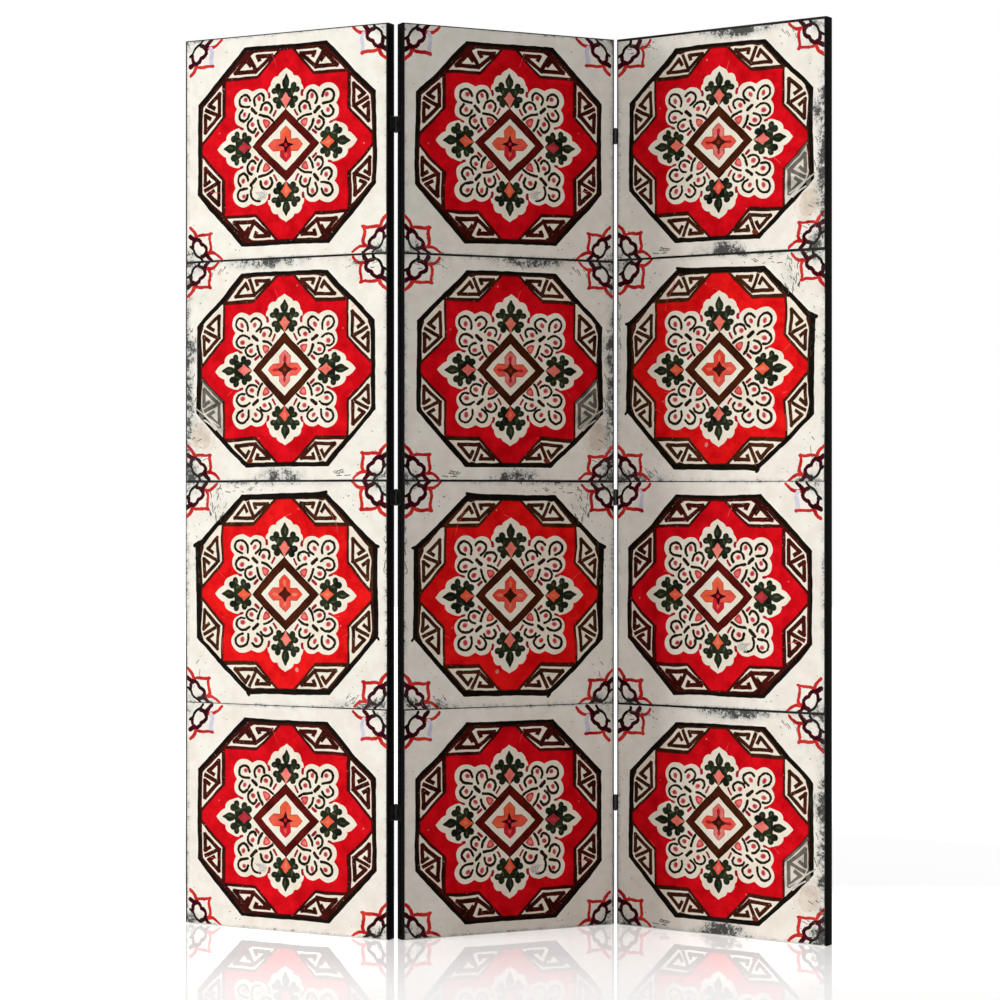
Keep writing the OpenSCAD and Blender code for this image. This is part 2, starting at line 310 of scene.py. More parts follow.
def planedWoodMaterial(name, pale, dark, turn, ringWidth):
    material, tree, surface = newMaterial(name, in_Roughness=0.6, in_Specular_IOR_Level=0.3)
    place = addNode(tree, "ShaderNodeTexCoord")
    along = addNode(tree, "ShaderNodeMapping", {"Vector": place.outputs["Object"]},
                    in_Rotation=turn, in_Scale=(1.0, 1.0, woodLook["stretch"]))
    rings = addNode(tree, "ShaderNodeTexWave", {"Vector": along.outputs["Vector"]},
                    wave_type="RINGS", rings_direction="Z", wave_profile="SAW",
                    in_Scale=waveScale(ringWidth), in_Distortion=3.0, in_Detail=3.0,
                    in_Detail_Scale=8.0)
    pores = addNode(tree, "ShaderNodeTexNoise", {"Vector": along.outputs["Vector"]},
                    in_Scale=1 / woodLook["poreSize"], in_Detail=3.0)
    tone = addNode(tree, "ShaderNodeMix", {"Factor": rings.outputs["Fac"]}, data_type="RGBA",
                   in_6=hexColour(pale), in_7=hexColour(dark))
    tree.links.new(tone.outputs[2], surface.inputs["Base Color"])
    bump = addNode(tree, "ShaderNodeBump", {"Height": pores.outputs["Fac"]}, in_Strength=0.3,
                   in_Distance=woodLook["poreDepth"])
    tree.links.new(bump.outputs["Normal"], surface.inputs["Normal"])
    return material


# The print. Each tile is drawn in millimetres from its middle, one quarter at a time.
tile = {
    "width": 450,
    "height": 430,
    "groutHalf": 1.5,      # half the width of a grout line
    "clear": 0.7,          # the drawing stays this far inside the border
    "borderStep": 10,
    "grid": 14,            # spacing of the points between the drawn lines
    "gridX": (190, (203, 213, 220)),  # how far they go like that, and the last ones
    "gridY": (180, (193, 203, 210)),
    "edgePiece": 7,        # a drawn edge is cut into pieces this long
    "held": (1, 6),        # a line this near the border doesn't move, so much further in it does
    "strayReach": 34,      # how wide a stray of the painter's hand bends the lines
    "slip": 0.6,           # how far a brush mark has slipped
    "tremble": 0.5,        # and its outline trembles
    "slipping": ("stroke", "pink", "maroon", "salmon"),
    "trembling": ("wine", "rose", "stroke"),
    "drift": (90, 1.6),    # slow bends of a line: their length, and how far they go
    "shake": (14, 1.0),    # and quick ones
    "noiseSeed": 7,        # of those bends; 0 would take the clock's
}
noise.seed_set(tile["noiseSeed"])

# each ink: its darker and lighter tone, and how worn its lines are (0 to 1)
inks = {
    "grout": ("0a0908", "171513", 0.0),
    "cream": ("f2ebde", "fbf6ec", 0.0),
    "ivory": ("efe4cf", "f9f0de", 0.0),
    "stain": ("d9c9b6", "eee2d3", 0.0),
    "stainRim": ("e9dfd0", "f7efe3", 0.0),
    "pearl": ("f0e6d1", "faf3e2", 0.0),
    "black": ("080603", "17110a", 0.25),
    "umber": ("2a0704", "4c120c", 0.35),
    "chestnut": ("2b1007", "4b1f0e", 0.35),
    "earth": ("2c1206", "4e250f", 0.35),
    "frame": ("480806", "6c1610", 0.2),
    "earthFrame": ("361306", "50210b", 0.2),
    "outline": ("120603", "240d05", 0.1),
    "crimson": ("c4020f", "e60d1c", 0.0),
    "crimsonEdge": ("74060c", "9c0a12", 0.0),
    "scarlet": ("d4060f", "f51a19", 0.0),
    "scarletEdge": ("7c0a08", "a8120c", 0.0),
    "leaf": ("0a110d", "2b3320", 0.15),
    "olive": ("252b18", "535638", 0.1),
    "stroke": ("171007", "30200f", 0.25),
    "salmon": ("de6460", "f08a80", 0.0),
    "coral": ("c6303a", "e0504c", 0.0),
    "scratch": ("dc3038", "f0655c", 0.0),
    "petalOrange": ("e85838", "f86e46", 0.0),
    "petalCoral": ("e44e3e", "f56450", 0.0),
    "petalBright": ("de3c28", "f2503a", 0.0),
    "petalRed": ("ba1a26", "d82838", 0.0),
    "petalPale": ("ea6a58", "f88672", 0.0),
    "heartPink": ("ec7066", "f98c80", 0.0),
    "heartDeep": ("a42a32", "c03c40", 0.0),
    "redOutline": ("9c2420", "c23a2e", 0.0),
    "pink": ("d4646a", "ea938c", 0.0),
    "drop": ("b02a3a", "cc484e", 0.0),
    "maroon": ("820e26", "b0243a", 0.1),
    "wine": ("240309", "48061a", 0.2),
    "starBrown": ("30110a", "521f12", 0.1),
    "rose": ("b0101c", "dc3a30", 0.15),
    "lilac": ("c6c9dd", "e4dfe9", 0.1),
    "smudge": ("a9a8a3", "cfcdc6", 0.0),
    "ghost": ("b2aca0", "e6dfd2", 0.0),
    "rust": ("5e200e", "8a381c", 0.1),
    "faded": ("4a463f", "78736a", 0.3),
    "soot": ("1c1b19", "45433e", 0.0),
    "black margin": ("090808", "100f0e", 0.0),
}
inkNames = list(inks)


# a smooth curve through points
def smooth(points, steps=4, closed=False):
    count = len(points)
    result = []
    for i in range(count if closed else count - 1):
        p = [points[(i + k) % count] if closed else points[min(max(i + k, 0), count - 1)]
             for k in (-1, 0, 1, 2)]
        for s in range(steps):
            t = s / steps
            result.append(tuple(
                0.5 * (2 * p[1][a] + (p[2][a] - p[0][a]) * t
                       + (2 * p[0][a] - 5 * p[1][a] + 4 * p[2][a] - p[3][a]) * t * t
                       + (3 * p[1][a] - p[0][a] - 3 * p[2][a] + p[3][a]) * t ** 3)
                for a in (0, 1)))
    if not closed:
        result.append(tuple(points[-1]))
    return result


# outline of a brush stroke of this width along points, with round ends
def brush(points, width, startWidth=None):
    line = smooth(points)
    last = len(line) - 1
    left, right = [], []
    for i, (x, y) in enumerate(line):
        a, b = line[max(i - 1, 0)], line[min(i + 1, last)]
        dx, dy = b[0] - a[0], b[1] - a[1]
        size = math.hypot(dx, dy) or 1
        half = width / 2
        if startWidth is not None:
            half = (startWidth + (width - startWidth) * i / last) / 2
        left.append((x - dy / size * half, y + dx / size * half))
        right.append((x + dy / size * half, y - dx / size * half))
    ends = []
    for end, inner, w in ((line[-1], line[-2], width), (line[0], line[1], startWidth or width)):
        angle = math.atan2(end[1] - inner[1], end[0] - inner[0])
        ends.append([(end[0] + math.cos(angle + s) * w / 2, end[1] + math.sin(angle + s) * w / 2)
                     for s in (0.9, 0, -0.9)])
    return left + ends[0] + right[::-1] + ends[1]


# an oval with its middle at x, y and its half width and half height
def blob(x, y, rx, ry, turn=0, count=14):
    c, s = math.cos(math.radians(turn)), math.sin(math.radians(turn))
    return [(x + rx * math.cos(a) * c - ry * math.sin(a) * s,
             y + rx * math.cos(a) * s + ry * math.sin(a) * c)
            for a in (2 * math.pi * k / count for k in range(count))]


# straight bars that overlap at their joints, as a ruled line is drawn
def bars(points, width):
    result = []
    for (x0, y0), (x1, y1) in zip(points, points[1:]):
        size = math.hypot(x1 - x0, y1 - y0)
        ux, uy = (x1 - x0) / size, (y1 - y0) / size
        h = width / 2
        lap = 0.9
        ax, ay = x0 - ux * h * lap, y0 - uy * h * lap
        bx, by = x1 + ux * h * lap, y1 + uy * h * lap
        result.append([(ax - uy * h, ay + ux * h), (ax + uy * h, ay - ux * h),
                       (bx + uy * h, by - ux * h), (bx - uy * h, by + ux * h)])
    return result


# the four mirror images of a quarter's outline
def fourWays(outline):
    return [[(x * sx, y * sy) for x, y in outline] for sx in (1, -1) for sy in (1, -1)]


# an outline symmetrical about both axes, from its quarter listed from the top to the right
def wholeRound(quarter):
    right = quarter + [(x, -y) for x, y in quarter[::-1]]
    return right + [(-x, y) for x, y in right[::-1]]


# the rosette between two leaves: its curls, with their widths, and the drops inside them
rosettes = {
    "open": {
        "curls": [[(48.7, 86), (50, 96), (58.8, 101.3), (68.7, 95), (71, 86), (67.5, 76.5)],
                  [(81.3, 88.5), (86, 98), (95.5, 101.8), (105, 96.5), (106.2, 86), (99, 78.4),
                   (82.2, 75.5)],
                  [(99, 70.5), (106.5, 62), (104.5, 53), (95, 48.5), (86, 52.5), (81.5, 60.5)],
                  [(75, 51), (84, 45), (86, 36), (80.5, 28.5), (72, 26.5), (66.5, 32.5)],
                  [(34, 62.5), (30.5, 71.5), (34, 79), (42.5, 82.7), (51.5, 77.5), (55, 67)]],
        "drops": [(60, 91, 4.6, 6.2, -12), (91.5, 91.5, 5.6, 4.8, 25), (94, 61.5, 4.8, 5.2, 0),
                  (74, 40.8, 5.6, 4.8, 20), (43.5, 70.5, 5.2, 5.2, 0)],
        "lines": [([(75, 69.5), (70, 64.5), (65.5, 60)], 6.6),
                  ([(28.6, 47.5), (41, 54.4), (58, 56.4)], 4.6),
                  ([(61.7, 46), (59, 36.8), (51.8, 27)], 5)],
    },
    "closed": {
        "curls": [[(74, 95.5), (68, 101), (60.5, 101.8), (53.5, 97), (51.3, 90), (55.5, 82.5),
                   (63.5, 77)],
                  [(83, 78.5), (82.5, 86.5), (85, 94.5), (91.5, 100.7), (100, 102.5), (108, 98),
                   (110, 89.5), (105.5, 82), (95.5, 77.3)],
                  [(80.7, 63), (88, 68), (98, 69.2), (106.5, 64.5), (110.5, 56.5), (107.5, 49),
                   (101, 45.6), (93, 46.5)],
                  [(73.5, 51.7), (82, 49.5), (88, 44), (89.5, 37.5), (85.5, 30.7), (77.5, 28),
                   (70, 29.8), (65.5, 32.8)],
                  [(55.3, 73.3), (51.5, 79.2), (43.5, 81.9), (36, 80.7), (31, 75.8), (31, 70),
                   (34, 65)]],
        "drops": [(66.5, 88.3, 4.4, 5.9, 35), (96, 88.3, 4.8, 6, -15), (96.5, 55.8, 6, 5, -12),
                  (77.4, 38.8, 6, 4.8, -22), (45.6, 69.5, 5.4, 5.2, 0)],
        "lines": [([(71.5, 67), (66.5, 63), (61.5, 59)], 6.6),
                  ([(28.5, 48), (33.5, 51.8), (40, 55.2), (48.5, 57.5)], 4.5),
                  ([(62.4, 48.3), (60.3, 40), (57.3, 32.5), (52.5, 26.3)], 5)],
    },
}

# the medallion's edge in one quarter: ogee tip, two leaf lobes, five rosette lobes and the side tip
medallionEdge = (
    smooth([(0, 148.5), (4, 145.8), (9, 143), (14, 140), (17, 136.5), (18.5, 133)], 2)
    + smooth([(19, 132.7), (26, 132.3), (31, 129), (34.5, 123.3), (35.5, 117)], 3)
    + smooth([(35.5, 117), (39.3, 112.5), (40.5, 106.5), (39.5, 100.5), (37, 95)], 2)
    + smooth([(39, 95), (41, 100), (45, 106), (51, 110.3), (58, 112), (65, 112), (71.5, 109.5),
              (76.5, 107)], 2)
    + smooth([(76.5, 107), (83, 110.8), (92, 113.8), (102, 113.2), (111, 108.5), (117, 101),
              (119.4, 92.5), (117.8, 83.5), (112, 74.5)], 2)
    + smooth([(112, 74.5), (116.3, 68), (118.2, 60), (117, 51.5), (112.5, 45), (105, 40.5),
              (97.5, 37.3)], 2)
    + smooth([(97.5, 34.4), (103, 36), (110, 37.4), (117, 36), (122.5, 33.8)], 2)
    + smooth([(122.5, 33.8), (129, 31.2), (134.5, 27.2), (137.6, 21.5), (138, 15.8)], 3)
    + smooth([(138, 15.8), (143.5, 13.9), (149, 10.2), (153.5, 6), (156.5, 2.6),
              (158.5, 0)], 2)[1:])


# one leaf, pointing up: a drop on top, two pairs of lobes, and a salmon heart below
def leafShapes(heartInk, glowInk):
    half = [(8, 109.5), (15, 111), (21, 107), (21, 101), (17, 96.5), (18, 92.5), (21.5, 88),
            (17.5, 80.5), (9, 77), (4, 73), (0, 69.5)]
    body = [(0, 111)] + half + [(-x, y) for x, y in half[-2::-1]]
    tip = smooth([(0.5, 138), (5, 130.5), (8.6, 124), (8.2, 117), (5.5, 111), (0, 108), (-5.5, 111),
                  (-8.2, 117), (-8.6, 124), (-4, 130.5)], 2, True)
    shapes = [("leaf", body), ("leaf", tip)]
    for s in (-1, 1):
        shapes += [("leaf", blob(s * 18, 113, 6.8, 7.4, s * -18)),
                   ("leaf", blob(s * 25.6, 105.6, 7.2, 6.2, s * 8)),
                   ("leaf", blob(s * 21.6, 87.6, 7.6, 6.8)),
                   ("leaf", blob(s * 15.6, 77.6, 6.8, 7.2)),
                   ("olive", blob(s * 24.5, 104.8, 3.4, 2.2, s * 12)),
                   ("olive", blob(s * 14, 101, 2, 5.5, s * 14)),
                   ("olive", blob(s * 20, 87, 3.4, 2.4, s * -25))]
    shapes.append(("olive", blob(1.6, 121, 1.8, 6.5, -4)))
    heart = [(0, 102.5), (4, 98), (6.5, 93.5), (12, 89.5), (8, 84.5), (4, 79), (0.8, 71),
             (-0.8, 71), (-4, 79), (-8, 84.5), (-12, 89.5), (-6.5, 93.5), (-4, 98)]
    glow = [(-1, 95), (2, 92), (4, 89), (2, 84), (0, 79), (-2, 84), (-3.5, 90)]
    return shapes + [(heartInk, heart), (glowInk, glow)]


# an outline moved up, away from the middle, then turned about it
def turned(outline, angle, away):
    c, s = math.cos(math.radians(angle)), math.sin(math.radians(angle))
    return [((x * c - (y + away) * s), (x * s + (y + away) * c)) for x, y in outline]


# a closed outline, clockwise, with each side moved inwards by its own gap
def inset(outline, gaps):
    lines = []
    for (x0, y0), (x1, y1), gap in zip(outline, outline[1:] + outline[:1], gaps):
        size = math.hypot(x1 - x0, y1 - y0)
        nx, ny = (y1 - y0) / size, -(x1 - x0) / size
        lines.append((nx, ny, nx * x0 + ny * y0 + gap))
    result = []
    for (a, b, c), (d, e, f) in zip(lines[-1:] + lines[:-1], lines):
        scale = a * e - b * d
        result.append(((c * e - b * f) / scale, (a * f - c * d) / scale))
    return result


# the part of an outline inside a convex one that runs clockwise
def trimmed(outline, limits):
    for (x0, y0), (x1, y1) in zip(limits, limits[1:] + limits[:1]):
        sides = [(x1 - x0) * (y - y0) - (x - x0) * (y1 - y0) for x, y in outline]
        kept = []
        for p, a, q, b in zip(outline, sides, outline[1:] + outline[:1], sides[1:] + sides[:1]):
            if a <= 0:
                kept.append(p)
            if a * b < 0:
                kept.append((p[0] + (q[0] - p[0]) * a / (a - b),
                             p[1] + (q[1] - p[1]) * a / (a - b)))
        outline = kept
    return outline


# the key-fret panels in the upper right quarter, and the bars in them
keyFretOfA = {
    "topPanel": [(23.5, 179), (75, 178.5), (84, 173), (93, 171), (131, 135.5), (66, 135.5)],
    "sidePanel": [(144.5, 122), (144.5, 57.6), (189.7, 12), (189.7, 62), (188, 82)],
    "frets": [[(66, 165), (68.5, 171), (36.8, 171), (72, 143.8), (115, 143.8), (92.6, 166.5),
               (84, 156)],
              [(86.5, 171), (72, 145)],
              [(163.5, 79.3), (174.5, 85), (151, 106), (151, 64), (183, 33.5), (183.3, 66),
               (173.5, 60)],
              [(158, 66), (181.5, 76.5)]],
}
keyFretOfC = {
    "topPanel": [(18, 180), (73, 180), (84, 177), (91, 178.7), (131, 137), (62.5, 136.7)],
    "sidePanel": [(141, 131), (147.3, 130), (183.6, 92.7), (183, 88), (189.5, 72), (190.5, 66),
                  (187.3, 12.7), (141.4, 59)],
    "frets": [[(62, 165), (64.5, 172), (35.8, 172), (67, 144), (111, 144.6), (88.3, 168),
               (82, 157.5)],
              [(79, 174), (68, 150)],
              [(162.7, 79.1), (173.6, 85.5), (149.8, 107), (149.5, 63.6), (182.9, 32.7),
               (183.8, 66.4), (172.7, 58.2)],
              [(157.3, 65.5), (181, 76.4)]],
}

# each kind of tile as its painter left it:
# "border", the gap between the octagon's outline and its brown, side by side
# "shift" and "scale" of the medallion; "grow", "shear" and "tilt" of the whole drawing
# "corners", how far the flowers have strayed: upper right, lower right, upper left, lower left
# "chips", spots in the red: x, y, radius
# "strokes", groups of soot marks: x, y, half width, half height, heading, count
tileKinds = {
    "A": {
        "octagon": [(-93.5, 191), (93.5, 190.5), (200, 88), (200, -85), (99, -190), (-99, -190),
                    (-200, -85), (-200, 88)],
        "border": [6.5, 8, 7, 8, 7, 8, 7, 8],
        "brown": "umber", "frame": "frame", "red": "crimson",
        "fret": keyFretOfA, "fretWidth": 8.2, "rosette": "open", "curlWidth": 5.6,
        "petals": ("petalOrange", "petalOrange", "petalRed", "petalCoral"),
        "hearts": ("heartPink", "petalOrange", "petalOrange", "heartDeep"),
        "star": "wine", "starReach": (18, 6.6), "eye": "petalRed", "core": "petalCoral",
        "shift": (1.0, -1.3), "scale": 0.988,
        "grow": (0.998, 1.007), "shear": 0.0, "tilt": 0.002,
        "corners": [(0, 0), (-2, 0), (-6, 0), (-5, 2)],
        "scratches": 10, "specks": 10,
        "chips": [(172, -7, 1.4), (-150, 30, 1.3)],
        "strokes": [],
    },
    "B": {
        "octagon": [(-99, 189), (95, 190), (198, 90), (199, -80), (98, -188), (-88, -189.5),
                    (-202, -82), (-200, 86)],
        "border": [6.5, 9, 9.5, 9, 8.5, 9, 9, 9],
        "brown": "chestnut", "frame": "earthFrame", "red": "crimson",
        "fret": keyFretOfC, "fretWidth": 7.4, "rosette": "closed", "curlWidth": 5,
        "petals": ("salmon", "petalCoral", "salmon", "petalCoral"),
        "hearts": ("petalPale", "petalPale", "petalCoral", "salmon"),
        "star": "starBrown", "starReach": (17.5, 8.4), "eye": "rust", "core": "petalRed",
        "shift": (-1.6, -1.0), "scale": 0.99,
        "grow": (0.999, 0.991), "shear": 0.0, "tilt": 0.001,
        "corners": [(1, 0), (1, 1), (0, 2), (0, 0)],
        "scratches": 14, "specks": 30,
        "chips": [(26, 160, 1.6), (-60, -133, 1.2), (128, 76, 1.3)],
        "strokes": [(165, 197, 34, 9, 0.3, 16), (120, -202, 14, 5, 0.4, 12),
                    (-150, 190, 20, 12, 1.2, 8), (-212, 20, 8, 90, 1.4, 12),
                    (-200, -150, 14, 30, 0.8, 8)],
    },
    "C": {
        "octagon": [(-95.6, 190.5), (91, 193.8), (204.4, 94.4), (203.8, -79), (97, -191),
                    (-81, -192), (-201, -85), (-203.8, 90)],
        "border": [11, 9, 10, 9, 10, 9, 11, 9],
        "brown": "earth", "frame": "earthFrame", "red": "scarlet",
        "fret": keyFretOfC, "fretWidth": 7.3, "rosette": "closed", "curlWidth": 5.3,
        "petals": ("petalBright", "petalBright", "petalCoral", "petalCoral"),
        "hearts": ("petalPale", "petalOrange", "petalPale", "petalOrange"),
        "star": "starBrown", "starReach": (15.5, 8.6), "eye": "starBrown", "core": "petalPale",
        "shift": (-0.4, -0.6), "scale": 1.0,
        "grow": (1.003, 1.004), "shear": -0.008, "tilt": 0.006,
        "corners": [(-2, 4), (1, -1), (3, 0), (0, 1)],
        "scratches": 26, "specks": 44,
        "chips": [(26, -144, 3.6), (30, 162, 1.5), (122, -60, 1.4)],
        "strokes": [(-152, 168, 18, 34, 1.4, 30), (-200, 60, 10, 60, 1.5, 8),
                    (170, -200, 40, 8, 0.6, 22), (219, 80, 3, 50, 1.5, 9),
                    (-90, 200, 60, 8, 0.3, 10), (-205, -160, 12, 30, 1.2, 5)],
    },
}

# a corner's ornament: red petal lines, a wine-coloured ring round a bare flower, a dark outer
# line; each with its points, its width, and its width where it starts
cornerMarks = [
    ("rose", [(150, 211), (157, 204), (165, 199.5), (174, 199), (182, 198.5)], 7.2, 5.6),
    ("rose", [(173, 198), (169, 190), (170, 180), (171.5, 171), (170, 162)], 6.8, 7),
    ("rose", [(168, 162.5), (180, 164), (190, 163), (200, 163.5), (206, 166)], 6.6, 6.2),
    ("rose", [(206, 170), (208, 163), (211, 157), (216, 151.5), (223, 146)], 6.4, 9),
    ("wine", [(173, 213), (178, 208), (183, 202)], 9.6, 7.6),
    ("wine", [(196, 204), (189, 202.5), (183, 197), (181.5, 190), (186.5, 184), (193, 181),
              (196, 175.5), (202.5, 171), (209, 171), (214.5, 176), (216, 186)], 8, 7.6),
    ("wine", [(209, 172), (216, 168), (223, 164)], 9.6, 8.8),
    ("black", [(194, 213), (198, 207), (206, 202.5), (211.5, 196.5), (214, 190.5), (218, 187),
               (223, 183.5)], 5, 5.6),
]


# the glazed ground and the flowers in its corners
def groundShapes(kind):
    hw, hh = tile["width"] / 2 - tile["groutHalf"], tile["height"] / 2 - tile["groutHalf"]
    shapes = [("cream", [(-hw, -hh), (hw, -hh), (hw, hh), (-hw, hh)])]
    if kind == "B":
        shapes += [("stainRim", blob(-188, -124, 30, 38, 25)),
                   ("stain", blob(-190, -126, 21, 27, 25))]
    for number, (ink, line, width, startWidth) in enumerate(cornerMarks):
        for k, (sx, sy) in enumerate(((1, 1), (1, -1), (-1, 1), (-1, -1))):
            dx, dy = tileKinds[kind]["corners"][k]
            moved = [((x + dx) * sx, (y + dy) * sy) for x, y in line]
            faded = kind == "A" and k in (0, 2) and number == 1
            shapes.append(("lilac" if faded else ink,
                           brush(moved, width + 2 if faded else width, startWidth)))
    return shapes


# eight-pointed star: a rectangle and a diamond laid over each other
star = {
    "side": 137.2,
    "top": 130,
    "reach": 197.6,        # of the diamond's points, which the octagon's sides cut off
    "wide": 190,
    "high": 180.6,
    "lines": 204,          # reach of the brown lines beside the diamond
    "edge": 1.4,
}


# marks of wear: scratches in the red, and soot on the ground in short strokes and specks
scratch = {
    "within": 150,
    "reach": (8, 34),
    "bend": 1.5,
    "width": 0.9,
}
soot = {
    "inks": ("soot", "faded"),
    "reach": (3, 13),
    "turn": 0.5,           # radians either way
    "width": (0.8, 1.7),
    "speckWide": (0.7, 1.5),
    "speckHigh": (0.6, 1.2),
}


# the octagon: black outline, brown inside it, and key-fret panels between the star's points
def octagonShapes(kind):
    look = tileKinds[kind]
    brown, fret = look["brown"], look["fret"]
    inner = inset(look["octagon"], look["border"])
    shapes = [("black", look["octagon"]), (brown, inner)]
    rubbed = kind == "B"  # the panel at the lower left is rubbed to a grey ghost
    for panel in ("topPanel", "sidePanel"):
        for k, way in enumerate(fourWays(fret[panel])):
            ghost = rubbed and k == 3 and panel == "sidePanel"
            shapes.append(("ghost" if ghost else "ivory", trimmed(way, inner)))
    for line in fret["frets"]:
        for outline in bars(line, look["fretWidth"]):
            for k, way in enumerate(fourWays(outline)):
                ghost = rubbed and k == 3 and line[0][0] > 140
                shapes.append(("faded" if ghost else brown, way))
    shapes.append((brown, wholeRound([(star["lines"] - star["high"], star["high"]),
                                      (star["wide"], star["lines"] - star["wide"])])))
    if rubbed:
        shapes += [("rust", blob(-79, -176, 7, 5, 20)),
                   ("faded", bars([(-143, -59.5), (-188, -14)], 4.4)[0]),
                   ("faded", blob(-190, -84, 5, 11, 8)),
                   ("ghost", brush([(-150, -107), (-178, -88), (-206, -70)], 2.6)),
                   ("ghost", brush([(-157, -113), (-168, -104), (-184, -95)], 3.2))]
    return shapes


# the red star with its darker edge, fine scratches in its glaze, and pink chips
def starShapes(kind, rand):
    look = tileKinds[kind]
    shapes = []
    for ink, less in ((look["red"] + "Edge", 0), (look["red"], star["edge"])):
        reach, wide, high = star["reach"] - less * 1.4, star["wide"] - less, star["high"] - less
        shapes += [(ink, wholeRound([(star["side"] - less, star["top"] - less)])),
                   (ink, wholeRound([(reach - high, high), (wide, reach - wide)]))]
    side, bend = scratch["within"], scratch["bend"]
    for _ in range(look["scratches"]):
        x, y = rand.uniform(-side, side), rand.uniform(-side, side)
        heading = rand.uniform(0, math.pi)
        reach = rand.uniform(*scratch["reach"])
        dx, dy = reach * math.cos(heading), reach * math.sin(heading)
        middle = (x + dx * 0.5, y + dy * 0.5 + rand.uniform(-bend, bend))
        shapes.append(("scratch", brush([(x, y), middle, (x + dx, y + dy)], scratch["width"])))
    return shapes + [("pink", blob(x, y, r, r * 1.2, 20)) for x, y, r in look["chips"]]


# marks between the rosettes and the leaves, in one quarter
betweenRosettes = [
    ("maroon", brush([(38.5, 101.5), (37.3, 97), (37.5, 94)], 6)),
    ("maroon", brush([(104, 37.2), (99, 35.8)], 5)),
    ("maroon", brush([(21, 67.5), (23.5, 62.5), (27, 57)], 4.4)),
    ("maroon", brush([(60.8, 26.3), (67.8, 20.4)], 6)),
    ("coral", smooth([(33, 43), (40.5, 49), (49.5, 49.5), (49.5, 41.5), (43, 32)], 2, True)),
    ("salmon", smooth([(37, 42.5), (41.5, 45.8), (46.5, 46), (46.5, 41), (42.5, 36.5)], 2, True)),
]


# four rosettes; on A one curl is scratched off and drawn again over a grey smudge
def rosetteShapes(kind):
    look = tileKinds[kind]
    rosette = rosettes[look["rosette"]]
    marks = [("stroke", brush(curl, look["curlWidth"])) for curl in rosette["curls"]]
    marks += [("stroke", brush(line, width + 0.8)) for line, width in rosette["lines"]]
    for x, y, rx, ry, turn in rosette["drops"]:
        marks += [("pink", blob(x, y, rx, ry, turn)),
                  ("drop", blob(x, y, rx * 0.66, ry * 0.7, turn))]
    scratchedOff = (0, 8, 9) if kind == "A" else ()
    shapes = []
    for number, (ink, outline) in enumerate(marks + betweenRosettes):
        shapes += [(ink, way) for k, way in enumerate(fourWays(outline))
                   if k < 3 or number not in scratchedOff]
    if kind == "A":
        again = [(-71.5, -74), (-74, -84), (-72.5, -95), (-66.5, -101.5), (-57, -103)]
        shapes.append(("stroke", brush(again, 5)))
        for n in range(11):
            x = -66 + 1.5 * n
            zigzag = [(x, -84 - (n * 7) % 5), (x + 9, -90 - (n * 5) % 7),
                      (x + 4, -99 - (n * 3) % 6)]
            shapes.append(("smudge", brush(zigzag, 1.1)))
    return shapes


# the diamond in the middle, and the quatrefoil with a star in it: half heights and half widths
diamond = {
    "outside": (71, 75.5),
    "frame": (68.2, 72.6),
    "inside": (51.8, 55.8),
    "ground": (50, 53.8),
    "petals": ((0, 38), (-90, 38.5), (180, 34.5), (90, 38)),  # direction and reach of each
    "petalRim": 1.3,
    "eye": (3.4, 3.8),
}


def diamondShapes(kind):
    look = tileKinds[kind]
    shapes = []
    for ink, layer in (("outline", "outside"), (look["frame"], "frame"), ("outline", "inside"),
                       ("pearl", "ground")):
        high, wide = diamond[layer]
        shapes.append((ink, [(0, high), (wide, 0), (0, -high), (-wide, 0)]))
    petals = [(angle, reach, ink)
              for (angle, reach), ink in zip(diamond["petals"], look["petals"])]
    for less in (0, diamond["petalRim"]):
        for angle, reach, ink in petals:
            half = [(6, reach - 5 - less), (12.4 - less, reach - 12), (12 - less, 5)]
            petal = [(0, reach - less)] + half + [(0, -2)] + [(-x, y) for x, y in half[::-1]]
            shapes.append((ink if less else "redOutline", turned(petal, angle, 0)))
    for angle, reach, ink in petals:
        core = [(-1, reach - 9), (3.2, reach - 14), (2.4, 15), (-2.4, 15), (-3.6, reach - 15)]
        shapes.append((look["core"], turned(core, angle, 0)))
    points = [(look["starReach"][k % 2], math.pi * k / 4) for k in range(8)]
    return shapes + [(look["star"], [(r * math.sin(a), r * math.cos(a)) for r, a in points]),
                     (look["eye"], blob(0, 0, *diamond["eye"]))]


# white medallion with four rosettes, four leaves, and the diamond in its middle
def medallionShapes(kind):
    look = tileKinds[kind]
    shapes = [("pearl", wholeRound(medallionEdge)[1:])] + rosetteShapes(kind)
    glows = {"heartDeep": "drop", "petalPale": "salmon"}
    for (angle, away), heart in zip(((0, 0), (-90, 6.5), (180, 0), (90, 7)), look["hearts"]):
        shapes += [(ink, turned(outline, angle, away))
                   for ink, outline in leafShapes(heart, glows.get(heart, "petalPale"))]
    (dx, dy), scale = look["shift"], look["scale"]
    return [(ink, [(x * scale + dx, y * scale + dy) for x, y in outline])
            for ink, outline in shapes + diamondShapes(kind)]


